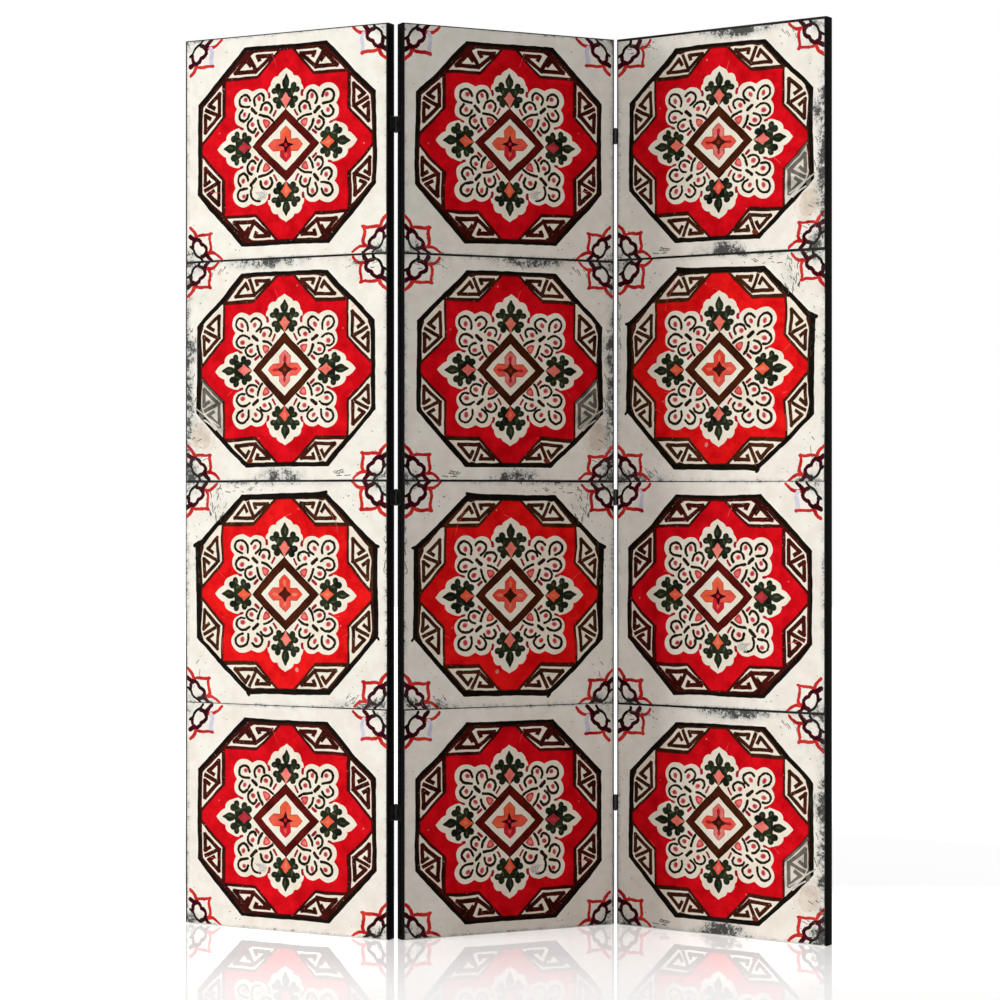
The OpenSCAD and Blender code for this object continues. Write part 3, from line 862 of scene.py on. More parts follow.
# what age and haste left on top: overshot corners, short scratches of soot, specks on the ground
def wornShapes(kind, rand):
    look = tileKinds[kind]
    shapes = []
    if kind == "C":
        shapes += [("black", brush([(190, 98), (206, 92)], 6, 8)),
                   ("black", brush([(-193, 98), (-205, 92)], 8, 7)),
                   ("black", brush([(-84, -188), (-81, -193)], 6)),
                   ("black", brush([(60, 191), (93, 193.5)], 6, 4)),
                   ("black", brush([(201, -78), (205, -84)], 5))]
    for px, py, rx, ry, heading, count in look["strokes"]:
        for _ in range(count):
            x, y = px + rx * rand.uniform(-1, 1), py + ry * rand.uniform(-1, 1)
            reach = rand.uniform(*soot["reach"])
            aim = heading + rand.uniform(-soot["turn"], soot["turn"])
            dx, dy = reach * math.cos(aim), reach * math.sin(aim)
            ink = rand.choice(soot["inks"])
            middle = (x + dx / 2 + rand.uniform(-1, 1), y + dy / 2)
            width = rand.uniform(*soot["width"])
            shapes.append((ink, brush([(x, y), middle, (x + dx, y + dy)], width)))
    made = 0
    while made < look["specks"]:
        x, y = rand.uniform(-218, 218), rand.uniform(-208, 208)
        if abs(x) + abs(y) > 302 or abs(x) > 207 or abs(y) > 196:  # outside the octagon
            ink = rand.choice(soot["inks"])
            rx, ry = rand.uniform(*soot["speckWide"]), rand.uniform(*soot["speckHigh"])
            shapes.append((ink, blob(x, y, rx, ry, count=6)))
            made += 1
    return shapes


# all of a tile's shapes, in the order they are painted
def tileShapes(kind):
    look = tileKinds[kind]
    rand = random.Random(kind)
    shapes = (groundShapes(kind) + octagonShapes(kind) + starShapes(kind, rand)
              + medallionShapes(kind) + wornShapes(kind, rand))
    (growX, growY), shear, tilt = look["grow"], look["shear"], look["tilt"]
    return [(ink, [(x * growX + shear * y, y * growY + tilt * x) for x, y in outline])
            for ink, outline in shapes]


# grime: its strength and reach at the edges and in the corners, and the most it comes to
grimeLook = {
    "edge": (0.3, 3),
    "corner": (0.22, 16),
    "most": 1.1,
}

# its patches on each kind of tile: x, y, half width, half height, strength
grimePatches = {
    "A": [(-60, 214, 160, 4, 0.35), (-223, 0, 8, 215, 0.4), (223, 0, 4, 215, 0.3),
          (0, -214, 220, 3.5, 0.35), (205, -203, 24, 14, 0.7), (-205, 203, 26, 16, 0.45),
          (-210, -205, 20, 14, 0.5), (212, 205, 18, 12, 0.45)],
    "B": [(-40, 204, 72, 10, 1.15), (0, 214, 220, 5, 0.45), (165, 200, 40, 8, 0.4),
          (-221, 0, 9, 215, 0.8), (-208, 44, 15, 22, 0.8), (-213, -60, 10, 60, 0.45),
          (-210, -190, 18, 40, 0.5), (-9, -203, 46, 14, 1.15), (-205, -205, 22, 18, 0.5),
          (-205, 205, 28, 16, 0.5), (223, 0, 5, 215, 0.45), (-195, -110, 30, 30, 0.3),
          (0, -214, 220, 4, 0.4), (208, -205, 22, 16, 0.55), (-190, 150, 26, 40, 0.25)],
    "C": [(-223, 0, 6, 215, 0.45), (-155, 172, 30, 36, 0.36), (-100, 213, 90, 6, 0.5),
          (60, 212, 120, 4, 0.3), (-205, 203, 22, 14, 0.5), (205, 205, 22, 14, 0.45),
          (160, -207, 50, 9, 0.65), (-190, -208, 26, 12, 0.7), (223, 0, 5, 215, 0.45),
          (212, -205, 18, 16, 0.65), (0, -214, 220, 3.5, 0.35), (-200, 60, 14, 70, 0.22)],
}


# how grimy the print is at a point of a tile
def grimeAt(kind, x, y):
    fromSide, fromEnd = tile["width"] / 2 - abs(x), tile["height"] / 2 - abs(y)
    (edge, edgeReach), (corner, cornerReach) = grimeLook["edge"], grimeLook["corner"]
    value = edge * np.exp(-np.minimum(fromSide, fromEnd) / edgeReach)
    value += corner * np.exp(-np.hypot(fromSide, fromEnd) / cornerReach)
    for px, py, rx, ry, strength in grimePatches[kind]:
        value += strength * np.exp(-((x - px) / rx) ** 2 - ((y - py) / ry) ** 2)
    return np.minimum(value, grimeLook["most"])


# where the painter's hand strayed on each kind: x, y, and how far it went
strays = {
    "A": [(-160, -180, -7.6, 3.2), (-60, 160, 6.4, -0.4), (-80, -80, -5.6, -3.7),
          (-60, 60, -2.8, 5.2), (180, -180, 5.4, -3.8), (-180, 180, -5.5, -3.2),
          (80, 140, -4.5, -1.0), (160, 140, 0.4, -4.7), (100, -60, -4.5, -0.3),
          (120, 20, -0.8, 3.6), (100, -160, -4.1, -3.9), (180, -40, 2.4, -3.4),
          (-40, -20, -3.1, 0.8), (-180, -40, 0.5, -3.7), (160, -100, 3.1, 2.1),
          (40, 180, -3.8, -1.2), (-20, 180, 3.9, -1.2), (-180, -120, -1.8, -2.3)],
    "B": [(180, 180, -5.5, -0.4), (-180, -140, -3.6, -3.0), (-80, 120, -4.1, 0.7),
          (-40, -100, 0.2, 3.9), (0, 80, 1.2, 3.2), (-140, 180, -3.4, -2.1), (80, 60, 2.8, -1.3),
          (160, 60, -1.4, -2.6), (-180, 100, -2.2, 2.6), (-80, -20, 3.4, 0.3),
          (100, 160, -2.0, -2.2), (-180, -40, -1.0, -3.6), (20, -120, 2.3, 1.7),
          (100, -160, -2.4, -1.1), (180, -40, -0.2, -3.0), (-120, -140, 0.0, -2.7),
          (20, 20, 2.4, 1.1), (100, -20, -2.4, -0.5)],
    "C": [(-140, -140, -4.1, -2.5), (180, 160, 0.0, -7.2), (-80, 140, -2.8, 0.8),
          (-20, -100, 0.7, 4.6), (-180, -180, -4.8, -0.6), (180, 20, -1.7, -3.2),
          (-100, -20, 3.0, -2.2), (-140, 100, -4.0, -0.1), (-40, 80, -2.3, 2.8),
          (-100, -180, -3.2, -2.8), (80, -120, -3.1, -0.6), (180, 100, -0.9, -3.1),
          (100, -20, -2.8, -0.1), (180, -180, -0.6, -2.7), (-140, -100, -3.7, 1.3),
          (-60, 180, -3.3, -0.5), (-160, 180, -1.9, -1.8), (-180, -80, -1.1, -3.8)],
}


# how far a point keeps from a tile's border, from 0 on it to 1 a few millimetres inside
def holdAt(x, y):
    inside = np.minimum(tile["width"] / 2 - np.abs(x), tile["height"] / 2 - np.abs(y))
    fully, further = tile["held"]
    return np.clip((inside - fully) / further, 0, 1)


# an outline's points with these strays
def strayed(kind, outline):
    points = np.array(outline)
    moved = points.copy()
    for px, py, dx, dy in strays[kind]:
        away = (points[:, 0] - px) ** 2 + (points[:, 1] - py) ** 2
        pull = np.exp(-away / tile["strayReach"] ** 2)
        moved += pull[:, None] * (dx, dy)
    hold = holdAt(points[:, 0], points[:, 1])[:, None]
    return [tuple(p) for p in points + (moved - points) * hold]


# winding test, so that a stroke may cross itself
def insideOutline(outline, x, y):
    count = np.zeros(len(x), int)
    for (x0, y0), (x1, y1) in zip(outline, outline[1:] + outline[:1]):
        side = (x1 - x0) * (y - y0) - (x - x0) * (y1 - y0)
        count += (y0 <= y) & (y1 > y) & (side > 0)
        count -= (y0 > y) & (y1 <= y) & (side < 0)
    return count != 0


# moves a point as an unsteady hand does, most in the middle of a tile and not at all at its border
def handMoved(x, y, seed):
    hold = float(holdAt(x, y))
    (driftSize, driftReach), (shakeSize, shakeReach) = tile["drift"], tile["shake"]
    drift = noise.noise_vector(Vector((x / driftSize, y / driftSize, seed * 3.7)))
    shake = noise.noise_vector(Vector((x / shakeSize, y / shakeSize, seed * 5.1 + 40)))
    return (x + hold * (driftReach * drift.x + shakeReach * shake.x),
            y + hold * (driftReach * drift.y + shakeReach * shake.y))


# an outline as it was painted on this tile: in short pieces, strayed and unsteady
def painted(kind, ink, outline, onGround, seed, rand):
    dx, dy = 0, 0
    if ink in tile["slipping"]:
        dx, dy = (rand.uniform(-tile["slip"], tile["slip"]) for _ in range(2))
    dense = []
    for (x0, y0), (x1, y1) in zip(outline, outline[1:] + outline[:1]):
        pieces = max(1, int(math.hypot(x1 - x0, y1 - y0) / tile["edgePiece"]))
        dense += [(x0 + (x1 - x0) * k / pieces + dx, y0 + (y1 - y0) * k / pieces + dy)
                  for k in range(pieces)]
    if onGround:
        dense = strayed(kind, dense)
    moved = [handMoved(x, y, seed) for x, y in dense]
    if ink in tile["trembling"]:
        tremble = tile["tremble"]
        moved = [(x + rand.uniform(-tremble, tremble), y + rand.uniform(-tremble, tremble))
                 for x, y in moved]
    return moved


# places of the grid's points along one side of a tile
def gridLine(inner, outer):
    return [-v for v in outer[::-1]] + list(range(-inner, inner + 1, tile["grid"])) + list(outer)


# one tile as flat triangles: points, triangles, the ink of each triangle, the grime at each point
def drawTile(kind, mirrored, offset, atFoot, seed):
    w, h = tile["width"] / 2, tile["height"] / 2
    rand = random.Random(seed)
    points, edges = [], []

    def addLoop(loop):
        start = len(points)
        points.extend(loop)
        edges.extend((start + k, start + (k + 1) % len(loop)) for k in range(len(loop)))

    step = tile["borderStep"]
    nx, ny = int(2 * w / step), int(2 * h / step)
    addLoop([(-w + step * k, -h) for k in range(nx)] + [(w, -h + step * k) for k in range(ny)]
            + [(w - step * k, h) for k in range(nx)] + [(-w, h - step * k) for k in range(ny)])
    limitX, highY = w - tile["clear"], h - tile["clear"]
    lowY = -h if atFoot else -highY
    placed = []
    for ink, outline in tileShapes(kind):
        moved = painted(kind, ink, outline, bool(placed), seed, rand)
        if mirrored:
            moved = [(-x, y) for x, y in moved[::-1]]
        if placed:  # everything but the ground has strayed a little
            moved = [(x + offset[0], y + offset[1]) for x, y in moved]
        elif atFoot:
            moved = [(x, -h if y < 0 else y) for x, y in moved]
        moved = [(min(max(x, -limitX), limitX), min(max(y, lowY), highY)) for x, y in moved]
        placed.append((inkNames.index(ink), moved))
        addLoop(moved)
    # more points between the lines, closer together towards the border
    points += [(x, y) for y in gridLine(*tile["gridY"]) for x in gridLine(*tile["gridX"])]
    found = delaunay_2d_cdt([Vector(p) for p in points], edges, [], 0, 1e-4, False)
    xy = np.array([tuple(v) for v in found[0]])
    triangles = np.array([f for f in found[2]], int)
    middle = xy[triangles].mean(1)
    ink = np.full(len(triangles), inkNames.index("grout"))
    for number, outline in placed:
        o = np.array(outline)
        near = np.nonzero((middle > o.min(0)).all(1) & (middle < o.max(0)).all(1))[0]
        if len(near):
            ink[near[insideOutline(outline, middle[near, 0], middle[near, 1])]] = number
    return xy, triangles, ink, grimeAt(kind, -xy[:, 0] if mirrored else xy[:, 0], xy[:, 1])


# the tiles of each panel from the top: kind, whether it is mirrored, how far the drawing has moved
tileRows = {
    "left": [("A", False, (2.2, 1.5)), ("B", False, (1.1, 0.3)), ("C", False, (1.3, 0.0)),
             ("A", False, (1.7, -2.6))],
    "middle": [("A", True, (-1.2, 0.0)), ("B", True, (-0.6, -1.5)), ("C", True, (-1.2, -2.3)),
               ("A", True, (-1.2, -3.6))],
    "right": [("B", True, (-0.4, -0.5)), ("C", True, (0.2, -0.8)), ("A", True, (-1.2, -1.8)),
              ("B", True, (-0.5, -3.6))],
}

canvasEdge = {
    "round": 0.0016,       # radius of the cloth over the frame's edges
    "roundSteps": 3,
}

# where a canvas lies in the square of its bake UV map: tiles in two columns, rims on top
bakeLayout = {
    "gap": 0.004,
    "columns": 2,
    "columnStep": 0.5,
    "columnWidth": 0.492,
    "lineStep": 0.464,
    "lineHeight": 0.456,
    "rimFrom": 0.934,
    "rimStep": 0.016,
    "rimHeight": 0.013,
    "rimWidth": 0.99,
}


# The drawn inks have thousands of outlines, so a canvas is made from computed faces.
# Its front is pulled in by the rounding, so that the rounded edges end at the panel's size.
def addFront(name, cloth):
    w, h, r = screen["panelWidth"], screen["panelHeight"], canvasEdge["round"]
    tw, th = tile["width"] / 1000, tile["height"] / 1000
    shrinkX, shrinkZ = (w - 2 * r) / w, (h - 2 * r) / h
    gap, index, vertices = bakeLayout["gap"], {}, cloth["vertices"]
    for row, (kind, mirrored, offset) in enumerate(tileRows[name]):
        seed = 10 * panelNames.index(name) + row + 1
        atFoot = row == screen["tileRows"] - 1
        xy, triangles, inkNumbers, grime = drawTile(kind, mirrored, offset, atFoot, seed)
        xy = xy / 1000
        number = []
        for (x, y), age in zip(xy, grime):
            z = y + h - th * (row + 0.5)
            key = (round(x * 1e5), round(z * 1e5))  # tiles share the points on their borders
            if key not in index:
                index[key] = len(vertices)
                vertices.append((x * shrinkX, -screen["panelDepth"] / 2,
                                 (z - h / 2) * shrinkZ + h / 2))
                cloth["ages"].append(age)
            number.append(index[key])
        left = gap + row % bakeLayout["columns"] * bakeLayout["columnStep"]
        foot = gap + row // bakeLayout["columns"] * bakeLayout["lineStep"]
        for triangle, ink in zip(triangles, inkNumbers):
            face = [number[k] for k in triangle]
            if len(set(face)) < 3:
                continue
            cloth["faces"].append(face)
            cloth["inks"].append(ink)
            cloth["uvs"].append([(vertices[k][0], vertices[k][2]) for k in face])
            cloth["bakes"].append([(left + (xy[k][0] + tw / 2) / tw * bakeLayout["columnWidth"],
                                    foot + (xy[k][1] + th / 2) / th * bakeLayout["lineHeight"])
                                   for k in triangle])


# how far out of the flat front and how far back each ring of the margin lies
def rimProfile():
    r, depth = canvasEdge["round"], screen["panelDepth"] - screen["canvasThickness"]
    steps = canvasEdge["roundSteps"]
    turns = [math.pi / 2 * k / steps for k in range(steps + 1)]
    profile = [(r * math.sin(a), r * (1 - math.cos(a))) for a in turns[1:]]
    profile.append((r, depth / 2))
    profile += [(r * math.cos(a), depth - r + r * math.sin(a)) for a in turns]
    return profile + [(r - screen["marginWidth"] * share, depth) for share in (0.5, 1)]


# the front's border, anticlockwise from the lower left corner, as one line of points a side
def borderLines(vertices):
    h, r = screen["panelHeight"], canvasEdge["round"]
    highX, lowZ, highZ = screen["panelWidth"] / 2 - r, r, h - r
    near = 1e-6
    sides = [[], [], [], []]
    for i, (x, _, z) in enumerate(vertices):
        for side, gap, along in ((0, z - lowZ, x), (1, x - highX, z), (2, z - highZ, -x),
                                 (3, x + highX, -z)):
            if abs(gap) < near:
                sides[side].append((along, i))
    return [[i for _, i in sorted(side)] for side in sides]


# carries the border on as rings over the frame's edges, down its sides and onto its back
def addRim(cloth):
    h, r = screen["panelHeight"], canvasEdge["round"]
    halfWidth, halfHeight = screen["panelWidth"] / 2 - r, h / 2 - r
    profile = rimProfile()
    lengths = [0]
    for p, last in zip(profile, [(0, 0)] + profile):
        lengths.append(lengths[-1] + math.dist(p, last))
    outward = [(0, -1), (1, 0), (0, 1), (-1, 0)]
    vertices, corners = cloth["vertices"], {}
    front = -screen["panelDepth"] / 2
    for side, line in enumerate(borderLines(vertices)):
        ox, oz = outward[side]
        total = len(line) - 1
        previousRing = line
        for k, (out, deep) in enumerate(profile):
            ring = []
            for n, i in enumerate(line):
                x, _, z = vertices[i]
                dx, dz = ox * out, oz * out
                if n in (0, total):
                    neighbour = outward[(side - 1) % 4 if n == 0 else (side + 1) % 4]
                    dx, dz = dx + neighbour[0] * out, dz + neighbour[1] * out
                    if (i, k) in corners:
                        ring.append(corners[i, k])
                        continue
                    corners[i, k] = len(vertices)
                elif ox == 0:  # the mitred margin is shorter inside
                    x *= 1 + min(out, 0) / halfWidth
                else:
                    z = h / 2 + (z - h / 2) * (1 + min(out, 0) / halfHeight)
                ring.append(len(vertices))
                vertices.append((x + dx, front + deep, z + dz))
                cloth["ages"].append(0)
            # the print's pale ground runs round the edge of the foot only
            pale = side == 0 and k < canvasEdge["roundSteps"]
            rimFoot = bakeLayout["rimFrom"] + bakeLayout["rimStep"] * side
            v0, v1 = (rimFoot + bakeLayout["rimHeight"] * m / len(profile) for m in (k, k + 1))
            s0, s1 = lengths[k], lengths[k + 1]
            for n in range(total):
                cloth["faces"].append([previousRing[n], ring[n], ring[n + 1], previousRing[n + 1]])
                cloth["inks"].append(inkNames.index("cream" if pale else "black margin"))
                a, b = vertices[line[n]], vertices[line[n + 1]]
                cloth["uvs"].append([(a[0] + ox * s0, a[2] + oz * s0),
                                     (a[0] + ox * s1, a[2] + oz * s1),
                                     (b[0] + ox * s1, b[2] + oz * s1),
                                     (b[0] + ox * s0, b[2] + oz * s0)])
                u0, u1 = (bakeLayout["gap"] + bakeLayout["rimWidth"] * m / total
                          for m in (n, n + 1))
                cloth["bakes"].append([(u0, v0), (u0, v1), (u1, v1), (u1, v0)])
            previousRing = ring


# One canvas: the drawn front, rounded over the frame's edges, down its sides and onto its back
def stretchedCanvas(name, material):
    cloth = {key: [] for key in ("vertices", "ages", "faces", "inks", "uvs", "bakes")}
    addFront(name, cloth)
    addRim(cloth)
    place = panelPlace(name)
    mesh = bpy.data.meshes.new("canvas_" + name)
    mesh.from_pydata([place @ Vector(v) for v in cloth["vertices"]], [], cloth["faces"])
    darkTable = np.array([hexColour(inks[n][0]) for n in inkNames])
    lightTable = np.array([hexColour(inks[n][1]) for n in inkNames])
    wearTable = np.array([inks[n][2] for n in inkNames])
    loopInk = np.repeat(np.array(cloth["inks"]), [len(f) for f in cloth["faces"]])
    loopAge = np.array([cloth["ages"][v] for f in cloth["faces"] for v in f])
    for layer, table in (("inkDark", darkTable), ("inkLight", lightTable)):
        colour = mesh.color_attributes.new(layer, "FLOAT_COLOR", "CORNER")
        colour.data.foreach_set("color", table[loopInk].ravel().astype(np.float32))
    # grime, the noise level from which an ink flakes, and how well grey film shows on it
    (unworn, worn), (gain, least) = canvasLook["flakeFrom"], canvasLook["filmOnInk"]
    flakes = unworn - worn * wearTable[loopInk]
    films = np.clip(darkTable[loopInk, 1] * gain, least, 1)
    state = mesh.attributes.new("age", "FLOAT_VECTOR", "CORNER")
    ages = np.stack([loopAge, flakes, films], 1)
    state.data.foreach_set("vector", ages.ravel().astype(np.float32))
    for layer, values in (("clothUV", cloth["uvs"]), ("OFBake", cloth["bakes"])):
        uv = mesh.uv_layers.new(name=layer)
        uv.data.foreach_set("uv", np.array([c for f in values for c in f], np.float32).ravel())
    mesh.materials.append(material)
    mesh.validate()
    piece = bpy.data.objects.new("canvas_print_" + name, mesh)
    bpy.context.scene.collection.objects.link(piece)
    marginInk = inkNames.index("black margin")
    mesh.polygons.foreach_set("use_smooth", [int(i) == marginInk for i in cloth["inks"]])
    return piece


upright, level = (0, 0, 0), (0, math.pi / 2, 0)  # how the grain of the wood runs
materials = {
    "canvas": printedCanvasMaterial(),
    "backCloth": backClothMaterial(),
    "hinge": lacqueredSteelMaterial("blackLacqueredSteel", "141312", "24221f", 0.42),
    "pin": lacqueredSteelMaterial("blackenedPinSteel", "1e1c1a", "38342f", 0.34),
    "screw": lacqueredSteelMaterial("blackOxideScrewSteel", "1a1918", "302d2a", 0.38),
    "staple": stapleSteelMaterial(),
    "uprightPine": planedWoodMaterial("planedPineUpright", "d9b27c", "b98a52", upright, 0.006),
    "railPine": planedWoodMaterial("planedPineRail", "dcb782", "bd9059", level, 0.006),
    "beech": planedWoodMaterial("turnedBeech", "dcb78c", "c49a6c", level, 0.003),
}
print("materials made")

# what the solids of the CAD are made of, by the first word of their names
solids = {
    "leaf": "hinge",
    "pin": "pin",
    "screws": "screw",
    "stile": "uprightPine",
    "rail": "railPine",
    "brace": "railPine",
    "dowels": "beech",
}
for node, piece in frame["nodes"].items():
    kind = solids.get(node.split("_")[0])
    if kind:
        piece.data.materials.clear()
        piece.data.materials.append(materials[kind])

for name in panelNames:
    canvas = stretchedCanvas(name, materials["canvas"])
    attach(canvas, name + "_panel")
    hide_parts("canvas_" + name, "wrap_" + name, "hem_" + name)
    print("canvas", name, len(canvas.data.polygons), "faces")

# Black cloth on the back: a sheet with its edges turned under, pulled flat by staples
backCloth = {
    "inset": 0.005,        # from the panel's edges
    "thickness": 0.0006,
    "turnUnder": 0.012,    # width of the doubled edge
    "doubled": 0.0002,     # how much that edge stands out
    "pucker": 0.0003,      # how deep the cloth is drawn in at a staple,
    "dent": 0.009,         # over this radius,
    "hollow": (0.25, 0.025),   # with a shallower hollow round it: share of the depth, radius
    "hollowEnd": 0.05,
    "sag": 0.0012,         # how far it lies in over the open frame,
    "opening": (0.045, 0.05),  # from this far inside its edge, fully after so much more
    "ripple": 0.4,         # share of the sag that comes and goes
    "ripples": (5, 9),     # radians a metre, across and up
    "step": 0.01,
}

staple = {
    "crown": 0.0105,
    "wire": 0.0011,
    "rise": 0.0007,
    "rounding": 0.35,      # shares of the rise: its rounded corners,
    "proud": 0.2,          # and how far its middle is above the cloth
    "leg": 0.004,
    "pitch": 0.082,
    "fromEdge": 0.006,     # inside the cloth's edge
    "skew": 9,             # degrees either way
    "strayAcross": 0.002,
    "strayUp": 0.001,
}


# places of the staples on a panel's back: x, z, and whether the crown lies along x
def staplePlaces():
    w = screen["panelWidth"] / 2 - backCloth["inset"] - staple["fromEdge"]
    low = backCloth["inset"] + staple["fromEdge"]
    high = screen["panelHeight"] - low
    places = []
    along = round(2 * w / staple["pitch"])
    up = round((high - low) / staple["pitch"])
    for k in range(along + 1):
        x = -w + 2 * w * k / along
        places += [(x, low, True), (x, high, True)]
    for k in range(1, up):
        z = low + (high - low) * k / up
        places += [(-w, z, False), (w, z, False)]
    return places


# how far the staples draw the cloth in at a point, from 0 to 1
def puckerAt(x, z, places):
    share, radius = backCloth["hollow"]
    value = 0.0
    for px, pz, _ in places:
        gap = math.hypot(x - px, z - pz)
        if gap < backCloth["hollowEnd"]:
            dent = math.exp(-(gap / backCloth["dent"]) ** 2)
            value = max(value, dent + share * math.exp(-(gap / radius) ** 2))
    return min(value, 1.0)


def makeBackCloth(name, material, places):
    w = screen["panelWidth"] / 2 - backCloth["inset"]
    low, high = backCloth["inset"], screen["panelHeight"] - backCloth["inset"]
    columns, rows = (round(size / backCloth["step"]) for size in (2 * w, high - low))
    bpy.ops.mesh.primitive_grid_add(x_subdivisions=columns, y_subdivisions=rows, size=1)
    cloth = bpy.context.object
    cloth.name = "back_cloth_sheet_" + name
    mesh = cloth.data
    face = screen["panelDepth"] / 2
    place = panelPlace(name)
    openFrom, openWithin = backCloth["opening"]
    ripple, (ripplesAcross, ripplesUp) = backCloth["ripple"], backCloth["ripples"]
    for vertex in mesh.vertices:
        x, z = vertex.co.x * 2 * w, low + (vertex.co.y + 0.5) * (high - low)
        edge = min(w - abs(x), z - low, high - z)
        y = face - backCloth["pucker"] * puckerAt(x, z, places)
        if edge > backCloth["turnUnder"]:
            y -= backCloth["doubled"]
        opening = min(1.0, max(0.0, (edge - openFrom) / openWithin))
        wave = math.sin(z * ripplesUp + x * ripplesAcross)
        y -= backCloth["sag"] * opening * (1 - ripple + ripple * wave)
        if edge < 1e-5:
            y = face - backCloth["thickness"]
        vertex.co = place @ Vector((x, y, z))
    for polygon in mesh.polygons:
        polygon.use_smooth = True
    back = place.to_3x3() @ Vector((0, 1, 0))
    if mesh.polygons[len(mesh.polygons) // 2].normal.dot(back) < 0:
        mesh.flip_normals()
    mesh.materials.append(material)
    return cloth


# one staple: a wire bar with its corners rounded over into two short legs
def makeStaple(material):
    deselectAll()
    bpy.ops.mesh.primitive_cube_add(size=1)
    piece = bpy.context.object
    piece.scale = (staple["crown"], staple["wire"], staple["rise"])
    bpy.ops.object.transform_apply(location=False, rotation=False, scale=True)
    legFrom = staple["crown"] / 2 - staple["wire"]
    bpy.ops.object.mode_set(mode="EDIT")
    for cut in (legFrom, -legFrom):
        bpy.ops.mesh.select_all(action="SELECT")
        bpy.ops.mesh.bisect(plane_co=(cut, 0, 0), plane_no=(1, 0, 0))
    bpy.ops.mesh.select_all(action="DESELECT")
    bpy.ops.object.mode_set(mode="OBJECT")
    mesh = piece.data
    for polygon in mesh.polygons:
        middle = sum(mesh.vertices[v].co.x for v in polygon.vertices) / len(polygon.vertices)
        polygon.select = polygon.normal.z < -0.9 and abs(middle) > legFrom
    bpy.ops.object.mode_set(mode="EDIT")
    bpy.ops.mesh.select_mode(type="FACE")
    bpy.ops.mesh.extrude_faces_move(TRANSFORM_OT_shrink_fatten={"value": staple["leg"]})
    bpy.ops.object.mode_set(mode="OBJECT")
    rounded = piece.modifiers.new("rounded", "BEVEL")
    rounded.width = staple["rise"] * staple["rounding"]
    rounded.segments = 1
    bpy.ops.object.modifier_apply(modifier="rounded")
    piece.data.materials.append(material)
    return piece


# staples of one panel, copies of the first, joined into one piece
def makeStaples(name, pattern, places):
    copies = []
    rand = random.Random(panelNames.index(name) + 5)
    y = screen["panelDepth"] / 2 + staple["rise"] * staple["proud"]
    across, up, skew = staple["strayAcross"], staple["strayUp"], staple["skew"]
    flat = Matrix.Rotation(-math.pi / 2, 4, "X")
    place = panelPlace(name)
    for x, z, level in places:
        copy = pattern.copy()
        copy.data = pattern.data.copy()
        bpy.context.scene.collection.objects.link(copy)
        spin = (0 if level else math.pi / 2) + math.radians(rand.uniform(-skew, skew))
        spot = (x + rand.uniform(-across, across), y, z + rand.uniform(-up, up))
        local = Matrix.Translation(spot) @ flat @ Matrix.Rotation(spin, 4, "Z")
        copy.data.transform(place @ local)
        copies.append(copy)
    deselectAll()
    for copy in copies:
        copy.select_set(True)
    bpy.context.view_layer.objects.active = copies[0]
    bpy.ops.object.join()
    copies[0].name = "staples_" + name
    return copies[0]


stapleSpots = staplePlaces()
deselectAll()
firstStaple = makeStaple(materials["staple"])
for name in panelNames:
    deselectAll()
    cloth = makeBackCloth(name, materials["backCloth"], stapleSpots)
    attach(cloth, name + "_panel")
    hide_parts("back_cloth_" + name)
    staples = makeStaples(name, firstStaple, stapleSpots)
    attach(staples, name + "_panel")
bpy.data.objects.remove(firstStaple)
print("back cloths and", len(stapleSpots) * len(panelNames), "staples made")

# Studio: a white floor that keeps the screen's shadow and a faint mirror image of its foot, a white
# surround, and one wide soft lamp at the left
studio = {
    "ambient": 0.465,
    "floorSize": 30,
    "floorDrop": 0.0005,       # below the feet
    "floorColour": "f8f8f8",
    "floorRoughness": 0.012,
    # painted light: the floor glows where it is seen, most under the screen, where the glow lifts
    # the shade at the screen's foot
    "footGlow": 0.6,           # white that is seen but lights nothing: under the screen,
    "floorGlow": 0.44,         # round it
    "farFloorGlow": 1.0,       # and far from it
    "footBand": (0.25, 0.62),  # distance in front or behind where the first gives way to the second
    "farBand": (1.0, 2.6),     # distance all round where the last takes over
    "mirror": 0.4,
    "farMirror": 0.09,
    "mirrorGain": 1.6,         # pale parts vanish in the white, as in the photograph
}
keyLamp = {
    "place": (-11.9, -1.75, 1.6),
    "aim": (0.0, 0.0, 0.85),
    "size": (3.2, 3.6),
    "power": 1140,
}
view = {
    "place": (-0.12909, -5.11841, 0.83175),
    "pixels": 1000,
    "sensor": 36,
    "focalPixels": 2675.1,
    "middleColumn": 440.0,     # where the camera points in the picture
    "horizonRow": 496.4,
}

bpy.ops.mesh.primitive_plane_add(size=studio["floorSize"], location=(0, 0, -studio["floorDrop"]))
floor = bpy.context.object
floor.name = "studio_floor"
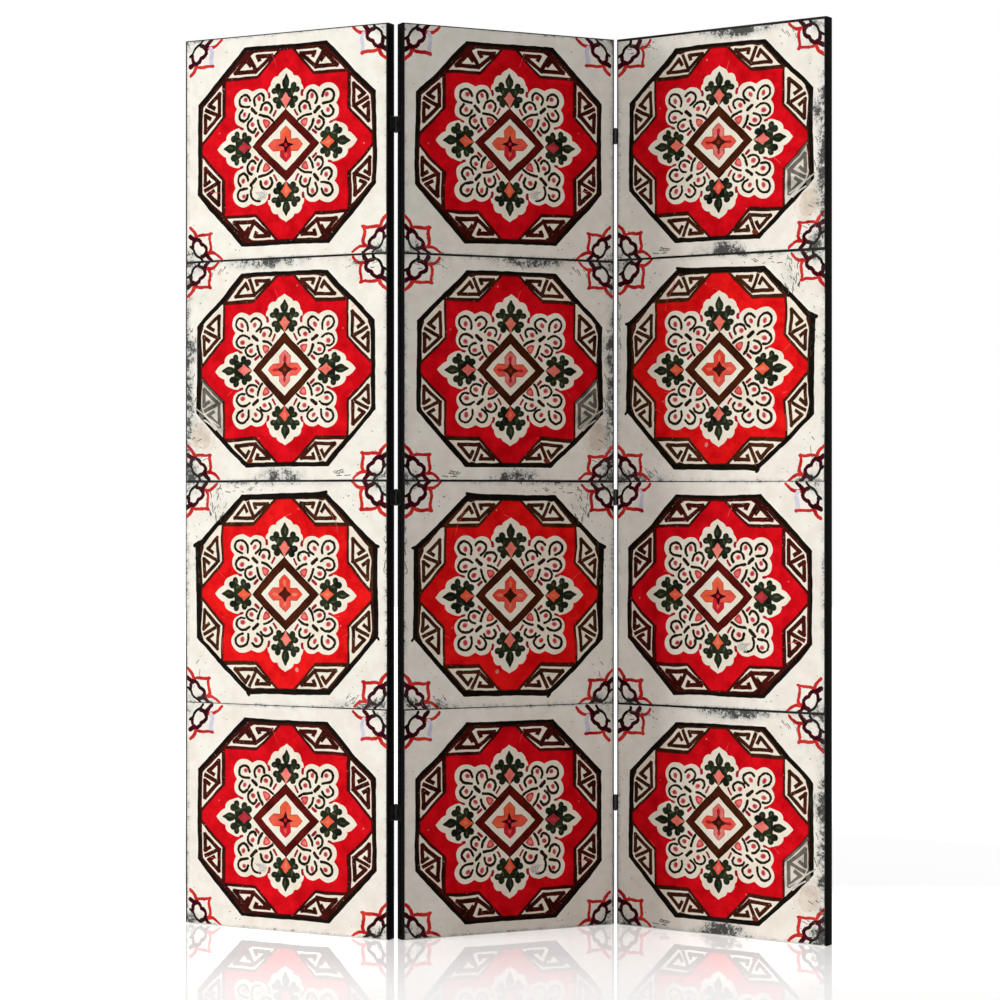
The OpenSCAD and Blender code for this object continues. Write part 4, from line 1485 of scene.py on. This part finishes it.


# Acrylic sheet, cast and polished: white all through, with a faint mirror on top; over it painted
# light, a glow that only the camera and mirror rays see, strongest under the screen, where it lifts
# the shade at the screen's foot
def whiteFloorMaterial():
    material, tree = emptyMaterial("whiteAcrylicFloor")
    place = addNode(tree, "ShaderNodeTexCoord")
    parts = addNode(tree, "ShaderNodeSeparateXYZ", {"Vector": place.outputs["Object"]})
    reach = addNode(tree, "ShaderNodeVectorMath", {0: place.outputs["Object"]}, operation="LENGTH")
    deep = addNode(tree, "ShaderNodeMath", {0: parts.outputs["Y"]}, operation="ABSOLUTE")
    farGlow = addNode(tree, "ShaderNodeMapRange", {"Value": reach.outputs["Value"]},
                      **span("From", studio["farBand"]),
                      **span("To", (0.0, studio["farFloorGlow"])))
    # painted light: brighter under the screen, lifting the shade at its foot
    nearGlow = addNode(tree, "ShaderNodeMapRange", {"Value": deep.outputs[0]},
                       **span("From", studio["footBand"]),
                       **span("To", (studio["footGlow"], studio["floorGlow"])))
    glow = addNode(tree, "ShaderNodeMath",
                   {0: nearGlow.outputs["Result"], 1: farGlow.outputs["Result"]},
                   operation="MAXIMUM")
    path = addNode(tree, "ShaderNodeLightPath")
    looked = addNode(tree, "ShaderNodeMath",
                     {0: path.outputs["Is Camera Ray"], 1: path.outputs["Is Glossy Ray"]},
                     operation="MAXIMUM")
    seen = addNode(tree, "ShaderNodeMath", {0: glow.outputs[0], 1: looked.outputs[0]},
                   operation="MULTIPLY")
    base = addNode(tree, "ShaderNodeBsdfDiffuse", in_Color=hexColour(studio["floorColour"]))
    light = addNode(tree, "ShaderNodeEmission", {"Strength": seen.outputs[0]},
                    in_Color=(1, 1, 1, 1))
    lit = addNode(tree, "ShaderNodeAddShader", {0: base.outputs[0], 1: light.outputs[0]})
    gain = studio["mirrorGain"]
    gloss = addNode(tree, "ShaderNodeBsdfGlossy", in_Color=(gain, gain, gain, 1),
                    in_Roughness=studio["floorRoughness"])
    share = addNode(tree, "ShaderNodeMapRange", {"Value": deep.outputs[0]},
                    **span("From", studio["footBand"]),
                    **span("To", (studio["mirror"], studio["farMirror"])))
    mirrored = addNode(tree, "ShaderNodeMath",
                       {0: share.outputs["Result"], 1: path.outputs["Is Camera Ray"]},
                       operation="MULTIPLY")
    both = addNode(tree, "ShaderNodeMixShader",
                   {0: mirrored.outputs[0], 1: lit.outputs[0], 2: gloss.outputs[0]})
    addNode(tree, "ShaderNodeOutputMaterial", {"Surface": both.outputs[0]})
    return material


floor.data.materials.append(whiteFloorMaterial())

# the surround is seen white, and lights the screen with less than that
world = bpy.data.worlds.new("studio")
bpy.context.scene.world = world
world.use_nodes = True
worldTree = world.node_tree
worldTree.nodes.clear()
path = addNode(worldTree, "ShaderNodeLightPath")
seenDirect = addNode(worldTree, "ShaderNodeMath",
                     {0: path.outputs["Is Camera Ray"], 1: path.outputs["Is Glossy Ray"]},
                     operation="MAXIMUM")
ambient = addNode(worldTree, "ShaderNodeBackground", in_Strength=studio["ambient"],
                  in_Color=(1, 1, 1, 1))
shown = addNode(worldTree, "ShaderNodeBackground", in_Strength=1.0, in_Color=(1, 1, 1, 1))
choice = addNode(worldTree, "ShaderNodeMixShader",
                 {0: seenDirect.outputs[0], 1: ambient.outputs[0], 2: shown.outputs[0]})
addNode(worldTree, "ShaderNodeOutputWorld", {"Surface": choice.outputs[0]})

light = bpy.data.lights.new("key", "AREA")
light.shape = "RECTANGLE"
light.size, light.size_y = keyLamp["size"]
light.energy = keyLamp["power"]
lamp = bpy.data.objects.new("key", light)
lamp.location = keyLamp["place"]
beam = Vector(keyLamp["aim"]) - Vector(keyLamp["place"])
lamp.rotation_euler = beam.to_track_quat("-Z", "Y").to_euler()
bpy.context.scene.collection.objects.link(lamp)

camera = bpy.data.cameras.new("camera")
cameraObject = bpy.data.objects.new("camera", camera)
bpy.context.scene.collection.objects.link(cameraObject)
camera.sensor_width = view["sensor"]
camera.lens = view["focalPixels"] / view["pixels"] * camera.sensor_width
camera.shift_x = (view["pixels"] / 2 - view["middleColumn"]) / view["pixels"]
camera.shift_y = (view["horizonRow"] - view["pixels"] / 2) / view["pixels"]
cameraObject.location = view["place"]
cameraObject.rotation_euler = (math.pi / 2, 0, 0)
bpy.context.scene.camera = cameraObject
bpy.context.scene.view_settings.view_transform = "Standard"
print("studio ready")
